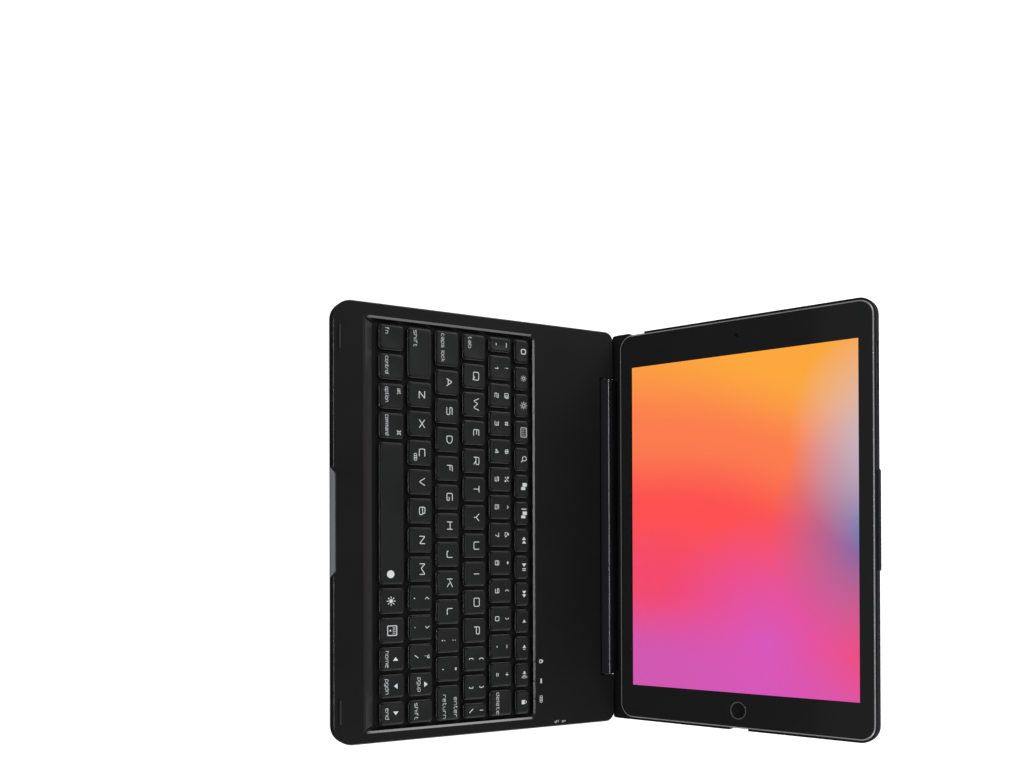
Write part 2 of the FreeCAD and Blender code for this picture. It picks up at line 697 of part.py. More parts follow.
def make_tablet():
    block = rounded_box("tablet_block", ("tablet_length", "tablet_width", "tablet_metal_top - tablet_back"),
                        ("-tablet_length / 2", "tablet_near", "tablet_back"), SIZES["tablet_corner"])
    block = soften("tablet_soft", block, level_at(SIZES["tablet_back"]), SIZES["tablet_edge"])
    block = soften("tablet_bevelled", block, level_at(SIZES["tablet_metal_top"]), 0.4, "Part::Chamfer")
    glass_seat = rounded_box("glass_seat", ("tablet_length - 1.4", "tablet_width - 1.4", 4),
                             ("-tablet_length / 2 + 0.7", "tablet_near + 0.7", "glass_low - 0.05"), 8.3)
    panel_seat = box("panel_seat", ("display_length + 0.4", "display_width + 0.4", 4),
                     ("-display_length / 2 - 0.2", "tablet_near + (tablet_width - display_width) / 2 - 0.2",
                      "display_low - 0.05"))
    housing = cut("tablet_housing", block, glass_seat, panel_seat, *tablet_sockets())
    node("tablet_housing", hang(housing))
    make_glass()
    panel = box("panel_sheet", ("display_length", "display_width", "glass_low - display_low"),
                ("-display_length / 2", "tablet_near + (tablet_width - display_width) / 2", "display_low"))
    node("display_panel", hang(group("display_panel", [panel])))
    make_tablet_small_pieces()


def make_glass():
    middle = "tablet_near + tablet_width / 2"
    sheet = rounded_box("glass_sheet", ("tablet_length - 1.6", "tablet_width - 1.6", "glass_top - glass_low"),
                        ("-tablet_length / 2 + 0.8", "tablet_near + 0.8", "glass_low"), 8.2)
    home_hole = cylinder("glass_home_hole", "home_ring + 0.03", 4, ("home_x", middle, -7))
    lens_hole = cylinder("glass_lens_hole", 1.45, 4, (-115.3, middle, -7))
    node("front_glass", hang(cut("front_glass", sheet, home_hole, lens_hole)))


def make_tablet_small_pieces():
    middle = SIZES["tablet_near"] + SIZES["tablet_width"] / 2
    disc = cylinder("home_ring_disc", "home_ring", 0.95, ("home_x", middle, "glass_low"))
    hole = cylinder("home_ring_hole", "home_radius + 0.08", 3, ("home_x", middle, "glass_low - 1"))
    node("home_ring", hang(cut("home_ring", disc, hole)))
    front_lens = cylinder("front_lens", 1.4, 1.4, (-115.3, middle, -5.8))
    node("front_camera_lens", hang(group("front_camera_lens", [front_lens])))
    rear_lens = cylinder("rear_lens", 3.4, 1.3, (-113, 171, "tablet_back - 0.02"))
    node("rear_camera_lens", hang(group("rear_camera_lens", [rear_lens])))
    button = cylinder("home_button_disc", "home_radius", 2.2, ("home_x", middle, -6.7))
    dish = DOC.addObject("Part::Sphere", "home_button_dish")
    bind(dish, "Radius", 60)
    place(dish, ("home_x", middle, 60 - 4.7))
    node("home_button", hang(cut("home_button", button, dish)))
    power = rounded_box("power_button", (1.3, 9.4, 2.2), ("-tablet_length / 2 - 0.05", 160.3, -9.3), 0.3)
    node("power_button", hang(power))
    for name, x in (("volume_up_button", -97.95), ("volume_down_button", -86.95)):
        edge_y = "tablet_near + tablet_width + 0.05 - 1.3"
        node(name, hang(rounded_box(name, (9.5, 1.3, 2.2), (x, edge_y, -9.3), 0.3)))


# --------------------------------------------------------------------- keys

def key_cells():
    """Each key as (name, left edge, width name, front edge, depth name)."""
    cells = []
    front = SIZES["keys_front"]
    for depth, keys in ROWS:
        left = SIZES["keys_left"]
        for name, width in keys:
            cells.append((name, left, width, front, depth))
            left += SIZES[width]
        front += SIZES[depth]
    return cells


def make_keycap(cell):
    """A shallow cap, hollow underneath, with a bevelled top edge."""
    name, left, width, front, depth = cell
    block = rounded_box("cap_%s" % name, (width + " - key_gap", depth + " - key_gap", "key_tall"),
                        ("%g + key_gap / 2" % left, "%g + key_gap / 2" % front, "key_bottom"),
                        SIZES["key_corner"])
    top = SIZES["key_bottom"] + SIZES["key_tall"]
    bevelled = soften("bevel_%s" % name, block, level_at(top), SIZES["key_bevel"], "Part::Chamfer")
    hollow = box("hollow_%s" % name,
                 (width + " - key_gap - 2 * key_wall", depth + " - key_gap - 2 * key_wall", "key_hollow + 1"),
                 ("%g + key_gap / 2 + key_wall" % left, "%g + key_gap / 2 + key_wall" % front,
                  "key_bottom - 1"))
    cap = cut("key_%s" % name, bevelled, hollow)
    if name in ("home_f", "home_j"):
        bar = box("bar_%s" % name, (4, 0.6, 0.3),
                  (left + SIZES[width] / 2 - 2, front + 3.6, "key_bottom + key_tall - 0.1"))
        cap = fuse("marked_%s" % name, cap, bar)
    return cap


def make_keys():
    members = {label: [] for label in GROUPS.values()}
    for cell in key_cells():
        name = cell[0]
        cap = make_keycap(cell)
        owner = [label for prefix, label in GROUPS.items() if name.startswith(prefix)]
        if owner:
            members[owner[0]].append(cap)
        else:
            node("key_" + name, cap)
    for label, caps in members.items():
        node(label, group(label, caps))


def guide_centres():
    """Centres of the domes, and of the guide frames: the long key has a frame at each end too."""
    domes = []
    frames = []
    for name, left, width, front, depth in key_cells():
        centre = (left + SIZES[width] / 2, front + SIZES[depth] / 2)
        domes.append(centre)
        frames.append(centre)
        if name == "space":
            frames += [(centre[0] - 30, centre[1]), (centre[0] + 30, centre[1])]
    return domes, frames


def make_key_guides():
    dome_centres, frame_centres = guide_centres()
    domes = [cone("dome_%d" % number, "dome_base", "dome_top", "dome_tall", (x, y, "recess_floor"))
             for number, (x, y) in enumerate(dome_centres)]
    node("rubber_domes", group("rubber_domes", domes))
    rings = []
    for number, (x, y) in enumerate(frame_centres):
        outer = box("frame_outer_%d" % number, ("frame_outer", "frame_outer", "frame_thick"),
                    ("%g - frame_outer / 2" % x, "%g - frame_outer / 2" % y, "recess_floor"))
        inner = box("frame_inner_%d" % number, ("frame_inner", "frame_inner", "frame_thick + 2"),
                    ("%g - frame_inner / 2" % x, "%g - frame_inner / 2" % y, "recess_floor - 1"))
        rings.append(cut("frame_%d" % number, outer, inner))
    node("scissor_frames", group("scissor_frames", rings))


# ------------------------------------------------------------------- output

def check_document():
    """Stop on any object that failed and on any piece that is empty or not valid."""
    for obj in DOC.Objects:
        if "Invalid" in obj.State or "Error" in obj.State:
            raise RuntimeError("%s failed: %s" % (obj.Name, obj.State))
    for piece in NODES:
        shape = piece.Shape
        if shape.isNull() or not shape.isValid() or not shape.Solids:
            raise RuntimeError("%s has no sound solid" % piece.Label)


def write_parts():
    os.makedirs("parts", exist_ok=True)
    for piece in NODES:
        piece.Shape.exportStep("parts/%s.step" % piece.Label)
        print("%-22s solids %3d volume %10.1f" % (piece.Label, len(piece.Shape.Solids), piece.Shape.Volume))


make_sheet()
make_bottom_shell()
make_top_deck()
make_sheets()
make_electronics()
make_trim()
make_hinge_metal()
make_barrel()
make_barrel_fittings()
make_tray()
make_tablet()
make_keys()
make_key_guides()
DOC.recompute()
check_document()
write_parts()
print("nodes", len(NODES))
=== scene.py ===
import itertools
import math

import bpy
from mathutils import Matrix, Vector


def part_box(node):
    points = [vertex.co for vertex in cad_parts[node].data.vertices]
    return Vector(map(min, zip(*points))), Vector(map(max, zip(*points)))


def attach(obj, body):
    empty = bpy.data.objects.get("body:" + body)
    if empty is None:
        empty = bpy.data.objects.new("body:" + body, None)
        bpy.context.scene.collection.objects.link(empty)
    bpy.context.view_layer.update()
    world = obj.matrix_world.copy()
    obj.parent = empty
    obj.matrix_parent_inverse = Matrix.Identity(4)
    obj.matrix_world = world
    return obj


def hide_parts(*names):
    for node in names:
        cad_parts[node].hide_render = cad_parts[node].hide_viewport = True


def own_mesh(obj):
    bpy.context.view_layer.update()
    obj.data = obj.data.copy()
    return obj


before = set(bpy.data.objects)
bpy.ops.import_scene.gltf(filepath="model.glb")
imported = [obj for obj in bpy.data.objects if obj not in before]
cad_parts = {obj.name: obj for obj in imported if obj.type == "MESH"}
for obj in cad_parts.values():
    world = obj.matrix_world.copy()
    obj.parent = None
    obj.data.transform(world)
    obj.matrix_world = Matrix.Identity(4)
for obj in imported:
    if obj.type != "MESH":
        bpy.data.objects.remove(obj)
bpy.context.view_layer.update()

MM = 0.001

# ---------------------------------------------------------------- layout, millimetres
KEY_GAP = 2.4
KEY_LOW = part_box("key_space")[0].z / MM
SCOOP_FACING = (0.0, -0.894, 0.447)       # normal of the finger scoop's sloping rim, which gets a painted highlight
FRONT_WALL_FACING = (0.0, 0.49, 0.872)    # normal of the key recess's front slope, which gets a painted highlight
HINGE = Vector((0.0, 89.75, 5.6))
OPEN_ANGLE = math.radians(112.9)
ALONG = Vector((0.0, -math.cos(OPEN_ANGLE), math.sin(OPEN_ANGLE)))   # along the lid, away from the hinge
TABLET_NEAR, TABLET_WIDTH = 9.0, 174.1
DISPLAY = (207.8, 155.9)
STATUS_X = (86.4, 98.9, 110.4)
STATUS_MARKS_Y = 39.6
SWITCH_MARKS_X = 125.6
SWITCH_ON_Y, SWITCH_OFF_Y = 56.0, 51.0
GROUPS = {
    "keys_function_row": 14,
    "keys_numbers": 12,
    "keys_upper_letters": 12,
    "keys_home_letters": 11,
    "keys_lower_letters": 10,
}
SINGLES = [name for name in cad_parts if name.startswith("key_")
           and name not in ("key_plate", "key_membrane")]


# ---------------------------------------------------------------- node helpers
class Nodes:
    """A small builder for one material's node tree."""

    def __init__(self, name):
        self.material = bpy.data.materials.new(name)
        self.material.use_nodes = True
        self.tree = self.material.node_tree
        self.tree.nodes.clear()
        self.out = self.add("ShaderNodeOutputMaterial")

    def add(self, kind, **values):
        node = self.tree.nodes.new(kind)
        for key, value in values.items():
            setattr(node, key, value)
        return node

    def link(self, source, target):
        self.tree.links.new(source, target)

    def place(self):
        return self.add("ShaderNodeTexCoord").outputs["Object"]

    def noise(self, scale, detail=3.0, roughness=0.55, vector=None):
        node = self.add("ShaderNodeTexNoise")
        node.inputs["Scale"].default_value = scale
        node.inputs["Detail"].default_value = detail
        node.inputs["Roughness"].default_value = roughness
        self.link(vector or self.place(), node.inputs["Vector"])
        return node.outputs["Fac"]

    def spread(self, source, low, high, from_low=0.3, from_high=0.7):
        """Map from_low..from_high to low..high; the default range is that of a noise."""
        node = self.add("ShaderNodeMapRange")
        limits = {"From Min": from_low, "From Max": from_high, "To Min": low, "To Max": high}
        for key, value in limits.items():
            node.inputs[key].default_value = value
        self.link(source, node.inputs["Value"])
        return node.outputs["Result"]

    def blend(self, factor, first, second):
        node = self.add("ShaderNodeMix", data_type="RGBA")
        for socket, value in ((node.inputs[6], first), (node.inputs[7], second)):
            if isinstance(value, tuple):
                socket.default_value = (*value, 1.0) if len(value) == 3 else value
            else:
                self.link(value, socket)
        self.link(factor, node.inputs[0])
        return node.outputs[2]

    def maths(self, operation, *values):
        node = self.add("ShaderNodeMath", operation=operation)
        for socket, value in zip(node.inputs, values):
            if isinstance(value, (int, float)):
                socket.default_value = value
            else:
                self.link(value, socket)
        return node.outputs[0]

    def dot(self, vector, direction):
        node = self.add("ShaderNodeVectorMath", operation="DOT_PRODUCT")
        self.link(vector, node.inputs[0])
        node.inputs[1].default_value = direction
        return node.outputs["Value"]

    def bump(self, height, strength, distance, normal=None):
        node = self.add("ShaderNodeBump")
        if normal:
            self.link(normal, node.inputs["Normal"])
        node.inputs["Strength"].default_value = strength
        node.inputs["Distance"].default_value = distance * MM
        self.link(height, node.inputs["Height"])
        return node.outputs["Normal"]


LEVEL = (0.97, 0.995)        # upward parts of the normal of a sloping and of a level face
LEANING = (0.985, 0.995)     # shares of a direction in the normal of a face beside it and along it
STREAK_STRETCH = (0.04, 1.0, 1.0)
GRAIN_HEIGHT = 0.03


def mottled_with_painted_highlight(n, dark, light, painted_highlight):
    """A colour that varies slowly, with a painted highlight: the optional (direction, colour) pair blends a
    lighter colour onto the faces that point in that direction.
    """
    colour = n.blend(n.spread(n.noise(22.0, 4.0), 0.0, 1.0), dark, light)
    # painted highlight: faces that point in the given direction get the lighter colour
    if painted_highlight:
        direction, highlight_colour = painted_highlight
        leaning = n.dot(n.add("ShaderNodeNewGeometry").outputs["Normal"], direction)
        colour = n.blend(n.spread(leaning, 0.0, 1.0, *LEANING), colour, highlight_colour)
    return colour


def relief(n, grain, grain_size, streaks, edge):
    """The normal of a fine grain over softened edges, or None where the finish has neither."""
    normal = None
    if edge:
        rounded = n.add("ShaderNodeBevel", samples=4)
        rounded.inputs["Radius"].default_value = edge * MM
        normal = rounded.outputs["Normal"]
    if grain:
        vector = n.place()
        if streaks:
            stretch = n.add("ShaderNodeMapping")
            stretch.inputs["Scale"].default_value = STREAK_STRETCH
            n.link(vector, stretch.inputs["Vector"])
            vector = stretch.outputs["Vector"]
        fine = n.noise(1.0 / (grain_size * MM), 2.0, 0.5, vector)
        normal = n.bump(fine, grain, GRAIN_HEIGHT, normal)
    return normal


def surface(name, dark, light, rough, grain=0.0, grain_size=0.25, metal=0.0, specular=0.5, coat=0.0,
            streaks=False, edge=0.0, slope_rough=None, glow=0.0, painted_highlight=None):
    """A solid finish: slow colour and gloss variation, and a fine moulded or blasted grain.

    edge softens the shading of sharp edges over that many millimetres; slope_rough is the roughness of
    faces that aren't level, which are also glossier; the (direction, colour) pair paints a highlight, a
    lighter colour on the faces that point in that direction; glow makes the colour shine by itself, painted
    brightness.
    """
    n = Nodes(name)
    shader = n.add("ShaderNodeBsdfPrincipled")
    n.link(shader.outputs[0], n.out.inputs["Surface"])
    colour = mottled_with_painted_highlight(n, dark, light, painted_highlight)
    n.link(colour, shader.inputs["Base Color"])
    gloss = n.spread(n.noise(60.0, 5.0, 0.6), *rough)
    shader.inputs["Specular IOR Level"].default_value = specular
    if slope_rough is not None:
        facing = n.dot(n.add("ShaderNodeNewGeometry").outputs["Normal"], (0, 0, 1))
        level = n.spread(facing, 0.0, 1.0, *LEVEL)
        gloss = n.maths("ADD", n.maths("MULTIPLY", gloss, level),
                        n.maths("MULTIPLY", n.maths("SUBTRACT", 1.0, level), slope_rough))
        n.link(n.spread(facing, 1.0, specular, *LEVEL), shader.inputs["Specular IOR Level"])
    n.link(gloss, shader.inputs["Roughness"])
    shader.inputs["Metallic"].default_value = metal
    shader.inputs["Coat Weight"].default_value = coat
    shader.inputs["Coat Roughness"].default_value = 0.12
    # glow: the surface colour shines by itself, a painted brightness, not a lamp
    if glow:
        n.link(colour, shader.inputs["Emission Color"])
        shader.inputs["Emission Strength"].default_value = glow
    normal = relief(n, grain, grain_size, streaks, edge)
    if normal:
        n.link(normal, shader.inputs["Normal"])
    return n.material


def glass_with_border():
    """Black printed border round a clear window over the display."""
    n = Nodes("glass_black_border")
    place = n.place()
    across = n.maths("ABSOLUTE", n.dot(place, (1, 0, 0)))
    along = n.maths("SUBTRACT", n.dot(place, tuple(ALONG)), HINGE.dot(ALONG) * MM)
    middle = (TABLET_NEAR + TABLET_WIDTH / 2) * MM
    from_middle = n.maths("ABSOLUTE", n.maths("SUBTRACT", along, middle))
    inside = n.maths("MULTIPLY",
                     n.maths("LESS_THAN", across, DISPLAY[0] / 2 * MM),
                     n.maths("LESS_THAN", from_middle, DISPLAY[1] / 2 * MM))
    border = n.add("ShaderNodeBsdfPrincipled")
    smudge = n.noise(30.0, 5.0, 0.6)
    n.link(n.spread(smudge, 0.05, 0.11), border.inputs["Roughness"])
    n.link(n.blend(smudge, (0.024, 0.024, 0.024), (0.028, 0.028, 0.028)), border.inputs["Base Color"])
    border.inputs["Specular IOR Level"].default_value = 0.3
    clear = n.add("ShaderNodeBsdfTransparent")
    shine = n.add("ShaderNodeBsdfGlossy")
    shine.inputs["Roughness"].default_value = 0.05
    fresnel = n.add("ShaderNodeFresnel")
    fresnel.inputs["IOR"].default_value = 1.35
    window = n.add("ShaderNodeMixShader")
    n.link(n.maths("MULTIPLY", fresnel.outputs[0], 0.6), window.inputs[0])
    n.link(clear.outputs[0], window.inputs[1])
    n.link(shine.outputs[0], window.inputs[2])
    mix = n.add("ShaderNodeMixShader")
    n.link(inside, mix.inputs[0])
    n.link(border.outputs[0], mix.inputs[1])
    n.link(window.outputs[0], mix.inputs[2])
    n.link(mix.outputs[0], n.out.inputs["Surface"])
    return n.material


def ramp(n, factor, stops):
    node = n.add("ShaderNodeValToRGB")
    elements = node.color_ramp.elements
    node.color_ramp.interpolation = "EASE"
    for position, colour in stops[2:]:
        elements.new(position)
    for element, (position, colour) in zip(elements, sorted(stops)):
        element.position = position
        element.color = (*colour, 1.0)
    n.link(factor, node.inputs[0])
    return node.outputs[0]


def display_gradient():
    """A lit panel with a plain soft gradient: amber, coral and magenta with cool glows at the free side."""
    n = Nodes("display_gradient")
    place = n.place()
    across = n.maths("DIVIDE", n.dot(place, (1, 0, 0)), DISPLAY[0] * MM)
    along = n.maths("DIVIDE", n.maths("SUBTRACT", n.dot(place, tuple(ALONG)), HINGE.dot(ALONG) * MM),
                    (TABLET_NEAR + TABLET_WIDTH) * MM)
    sway = n.maths("MULTIPLY", n.maths("SUBTRACT", n.noise(6.0, 1.0), 0.5), 0.2)
    fall = n.maths("ADD", n.maths("ADD", across, 0.5), sway)
    slope = n.maths("ADD", fall, n.maths("MULTIPLY", n.maths("SUBTRACT", 0.5, along), 0.22))
    warm = ramp(n, slope, [(0.0, (1.0, 0.40, 0.05)), (1.0, (0.66, 0.10, 0.45)), (0.28, (1.0, 0.21, 0.08)),
                           (0.52, (1.0, 0.085, 0.085)), (0.78, (0.92, 0.07, 0.16))])

    def glow(centre, reach, power):
        """A round patch that fades out from (across, along)."""
        dx = n.maths("SUBTRACT", across, centre[0])
        dy = n.maths("MULTIPLY", n.maths("SUBTRACT", along, centre[1]), 0.9)
        far = n.maths("SQRT", n.maths("ADD", n.maths("MULTIPLY", dx, dx), n.maths("MULTIPLY", dy, dy)))
        bent = n.maths("ADD", far, n.maths("MULTIPLY", sway, 0.5))
        return n.maths("POWER", n.spread(bent, 1.0, 0.0, 0.02, reach), power)

    colour = n.blend(glow((0.36, 0.62), 0.42, 1.3), warm, (0.70, 0.10, 0.52))
    colour = n.blend(glow((0.03, 1.02), 0.36, 1.1), colour, (0.03, 0.16, 0.46))
    colour = n.blend(glow((-0.22, 1.08), 0.34, 1.2), colour, (0.52, 0.56, 0.68))
    light = n.add("ShaderNodeEmission")
    seen = n.add("ShaderNodeLightPath").outputs["Is Camera Ray"]
    n.link(n.spread(seen, 0.06, 1.0, 0.0, 1.0), light.inputs["Strength"])
    n.link(colour, light.inputs["Color"])
    n.link(light.outputs[0], n.out.inputs["Surface"])
    return n.material


M = {
    "shell": surface("shell_matte", (0.0115, 0.0115, 0.0125), (0.015, 0.015, 0.0165), (0.51, 0.55), 0.30,
                     0.22, specular=0.25),
    # base: the finger scoop's sloping rim gets a light blue-grey, a painted reflection of the white
    # surroundings
    "base": surface("base_matte", (0.0115, 0.0115, 0.0125), (0.015, 0.015, 0.0165), (0.51, 0.55), 0.30, 0.22,
                    specular=0.25, painted_highlight=(SCOOP_FACING, (0.36, 0.36, 0.41))),
    # deck: the recess's front slope gets a lighter grey, painted light in place of light falling on it
    "deck": surface("deck_satin", (0.0085, 0.0085, 0.0085), (0.0115, 0.0115, 0.011), (0.40, 0.48), 0.10, 0.18,
                    specular=0.26, slope_rough=0.15, painted_highlight=(FRONT_WALL_FACING, (0.045, 0.045, 0.047))),
    "key": surface("key_satin", (0.0135, 0.014, 0.0145), (0.018, 0.0185, 0.019), (0.34, 0.40), 0.10, 0.12,
                   specular=0.45),
    "skirt": surface("key_skirt_gloss", (0.010, 0.010, 0.0105), (0.014, 0.014, 0.0145), (0.14, 0.20), 0.04,
                     0.2, specular=0.9, coat=0.3),
    "knob": surface("knob_satin", (0.014, 0.014, 0.015), (0.018, 0.018, 0.019), (0.34, 0.42), 0.12, 0.12,
                    edge=0.15),
    "barrel": surface("barrel_satin", (0.011, 0.011, 0.013), (0.015, 0.015, 0.018), (0.15, 0.19), 0.03, 0.15,
                      specular=0.45),
    "steel": surface("steel_brushed", (0.30, 0.30, 0.31), (0.42, 0.42, 0.43), (0.24, 0.38), 0.25, 0.2,
                     metal=1.0, streaks=True, edge=0.1),
    # legend: the ink also shines a little by itself, a painted brightness; no backlight is lit
    "legend": surface("legend_ink", (0.80, 0.81, 0.82), (0.88, 0.89, 0.90), (0.45, 0.55), 0.05, 0.1,
                      glow=0.22),
    "bumper": surface("bumper_rubber", (0.030, 0.030, 0.032), (0.042, 0.042, 0.045), (0.5, 0.65), 0.2, 0.1),
    "dome": surface("dome_rubber", (0.50, 0.50, 0.48), (0.62, 0.62, 0.60), (0.4, 0.5), 0.1, 0.2),
    "frame": surface("frame_nylon", (0.012, 0.012, 0.012), (0.018, 0.018, 0.018), (0.4, 0.5), 0.1, 0.2),
    "film": surface("film_black", (0.005, 0.005, 0.005), (0.008, 0.008, 0.008), (0.45, 0.6), 0.05, 0.3,
                    specular=0.2),
    "guide": surface("guide_acrylic", (0.70, 0.72, 0.74), (0.78, 0.80, 0.82), (0.1, 0.2), 0.05, 0.3),
    "board": surface("board_mask", (0.010, 0.060, 0.030), (0.018, 0.095, 0.048), (0.3, 0.45), 0.2, 0.4),
    "foil": surface("cell_foil", (0.42, 0.43, 0.45), (0.56, 0.57, 0.60), (0.25, 0.4), 0.4, 0.8, metal=0.9),
    "nickel": surface("magnet_nickel", (0.55, 0.55, 0.55), (0.66, 0.66, 0.66), (0.12, 0.2), 0.1, 0.3,
                      metal=1.0),
    # metal: glow makes the housing shine by itself, a painted highlight for the tablet's bright edge line
    "metal": surface("tablet_blasted", (0.52, 0.52, 0.54), (0.60, 0.60, 0.62), (0.24, 0.34), 0.10, 0.10,
                     metal=0.8, edge=0.15, glow=0.20),
    # ring: glow makes the home ring shine by itself, a painted brightness
    "ring": surface("ring_polished", (0.36, 0.36, 0.37), (0.44, 0.44, 0.45), (0.14, 0.2), 0.05, 0.1,
                    metal=1.0, edge=0.1, glow=0.12),
    "lens": surface("lens_glass", (0.004, 0.005, 0.009), (0.010, 0.012, 0.022), (0.03, 0.06), 0.0, coat=1.0),
    "button": surface("button_black", (0.014, 0.014, 0.014), (0.018, 0.018, 0.018), (0.10, 0.16), 0.0,
                      specular=0.35),
    "pipe": surface("pipe_clear", (0.10, 0.105, 0.11), (0.14, 0.145, 0.15), (0.08, 0.15), 0.0, coat=0.6),
    "glass": glass_with_border(),
    "display": display_gradient(),
}

CAD_LOOKS = {
    "shell": ["tray_shell"],
    "base": ["bottom_shell"],
    "deck": ["top_deck", "power_switch_body"],
    "knob": ["power_switch_knob"],
    "barrel": ["hinge_barrel", "barrel_end_caps"],
    "steel": ["key_plate", "charging_port", "plate_screws", "hinge_bracket_left", "hinge_bracket_right",
              "hinge_pin_left", "hinge_pin_right", "bracket_screws", "friction_clips",
              "barrel_screws"],
    "bumper": ["bumper_strips"],
    "dome": ["rubber_domes"],
    "frame": ["scissor_frames"],
    "film": ["key_membrane"],
    "guide": ["light_guide"],
    "board": ["circuit_board"],
    "foil": ["battery_pack"],
    "nickel": ["closure_magnets"],
    "metal": ["tablet_housing", "power_button", "volume_up_button", "volume_down_button"],
    "ring": ["home_ring"],
    "lens": ["front_camera_lens", "rear_camera_lens"],
    "button": ["home_button"],
    "pipe": ["status_light_pipes"],
    "glass": ["front_glass"],
    "display": ["display_panel"],
}


def paint_cad():
    for look, names in CAD_LOOKS.items():
        for name in names:
            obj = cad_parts[name]
            obj.data.materials.clear()
            obj.data.materials.append(M[look])


# ---------------------------------------------------------------- mesh helpers
def mesh_piece(name, body, materials, points, faces, smooth=True, pick=None):
    """A mesh object on a body; pick gives each face's material number from its middle."""
    mesh = bpy.data.meshes.new(name)
    mesh.from_pydata([tuple(c * MM for c in p) for p in points], [], faces)
    mesh.validate()
    mesh.update()
    mesh.polygons.foreach_set("use_smooth", [smooth] * len(mesh.polygons))
    obj = bpy.data.objects.new(name, mesh)
    bpy.context.scene.collection.objects.link(obj)
    for material in materials:
        mesh.materials.append(material)
    if pick:
        for polygon in mesh.polygons:
            polygon.material_index = pick(polygon.center / MM)
    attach(obj, body)
    return obj


def rounded_outline(width, depth, radius, per_corner=5, per_side=6):
    """Points round a rounded rectangle, anticlockwise, with extra points along each side."""
    a, b = width / 2, depth / 2
    radius = max(0.05, min(radius, a - 0.01, b - 0.01))
    centres = [(a - radius, b - radius, 0), (radius - a, b - radius, 90),
               (radius - a, radius - b, 180), (a - radius, radius - b, 270)]
    corners = []
    for x, y, start in centres:
        arc = []
        for step in range(per_corner + 1):
            turn = math.radians(start + 90 * step / per_corner)
            arc.append((x + radius * math.cos(turn), y + radius * math.sin(turn)))
        corners.append(arc)
    points = []
    for index, arc in enumerate(corners):
        points += arc
        following = corners[(index + 1) % 4][0]
        last = arc[-1]
        for step in range(1, per_side):
            t = step / per_side
            points.append((last[0] + (following[0] - last[0]) * t, last[1] + (following[1] - last[1]) * t))
    return points


class Builder:
    """Collects closed shells for one mesh."""

    def __init__(self):
        self.points = []
        self.faces = []

    def loft(self, rings):
        """Join closed rings of equal length in order; the first and last are single points."""
        first = len(self.points)
        self.points.append(rings[0])
        count = len(rings[1])
        starts = []
        for ring in rings[1:-1]:
            starts.append(len(self.points))
            self.points += ring
        last = len(self.points)
        self.points.append(rings[-1])
        for k in range(count):
            following = (k + 1) % count
            self.faces.append((first, starts[0] + k, starts[0] + following))
            self.faces.append((last, starts[-1] + following, starts[-1] + k))
        for low, high in zip(starts, starts[1:]):
            for k in range(count):
                following = (k + 1) % count
                self.faces.append((low + k, high + k, high + following, low + following))

    def prism(self, outline, lift, thick):
        """A closed slab over a convex or gently concave outline; lift gives the surface height."""
        start = len(self.points)
        count = len(outline)
        for x, y in outline:
            self.points.append((x, y, lift(x, y) + thick[1]))
        for x, y in outline:
            self.points.append((x, y, lift(x, y) - thick[0]))
        self.faces.append(tuple(start + k for k in range(count)))
        self.faces.append(tuple(start + count + k for k in reversed(range(count))))
        for k in range(count):
            following = (k + 1) % count
            self.faces.append((start + count + k, start + count + following, start + following, start + k))

    def ribbon(self, path, width, lift, thick, closed=False):
        """A closed flat bar that follows a path with mitred corners."""
        left, right = offset_path(path, width / 2, closed)
        start = len(self.points)
        count = len(path)
        for side in (left, right):
            for x, y in side:
                self.points.append((x, y, lift(x, y) + thick[1]))
        for side in (left, right):
            for x, y in side:
                self.points.append((x, y, lift(x, y) - thick[0]))
        segments = count if closed else count - 1
        for k in range(segments):
            a, b = start + k, start + (k + 1) % count
            c, d = a + count, b + count
            e, f, g, h = a + 2 * count, b + 2 * count, c + 2 * count, d + 2 * count
            self.faces += [(a, c, d, b), (e, f, h, g), (a, b, f, e), (c, g, h, d)]
        if not closed:
            a, c = start, start + count
            self.faces.append((a, a + 2 * count, c + 2 * count, c))
            a, c = start + count - 1, start + 2 * count - 1
            self.faces.append((a, c, c + 2 * count, a + 2 * count))


def offset_path(path, half, closed):
    """The two edges of a bar that follows a path."""
    left, right = [], []
    count = len(path)
    for k, (x, y) in enumerate(path):
        before = path[k - 1] if closed or k else None
        after = path[(k + 1) % count] if closed or k < count - 1 else None
        directions = []
        if before:
            directions.append(unit(x - before[0], y - before[1]))
        if after:
            directions.append(unit(after[0] - x, after[1] - y))
        dx = sum(d[0] for d in directions)
        dy = sum(d[1] for d in directions)
        dx, dy = unit(dx, dy)
        share = max(0.35, abs(directions[0][0] * dx + directions[0][1] * dy))
        reach = half / share
        left.append((x - dy * reach, y + dx * reach))
        right.append((x + dy * reach, y - dx * reach))
    return left, right


def unit(x, y):
    size = math.hypot(x, y) or 1.0
    return x / size, y / size


def soften_corners(path, radius, closed):
    """Replace each sharp corner of a path with a short arc."""
    count = len(path)
    if count < 3:
        return path
    made = []
    for k, point in enumerate(path):
        if not closed and k in (0, count - 1):
            made.append(point)
            continue
        before, after = path[k - 1], path[(k + 1) % count]
        arm = min(radius, 0.48 * math.dist(point, before), 0.48 * math.dist(point, after))
        ux, uy = unit(before[0] - point[0], before[1] - point[1])
        vx, vy = unit(after[0] - point[0], after[1] - point[1])
        start = (point[0] + ux * arm, point[1] + uy * arm)
        end = (point[0] + vx * arm, point[1] + vy * arm)
        for step in range(4):
            t = step / 3
            a = (1 - t) ** 2
            b = 2 * t * (1 - t)
            c = t * t
            made.append((a * start[0] + b * point[0] + c * end[0], a * start[1] + b * point[1] + c * end[1]))
    return made


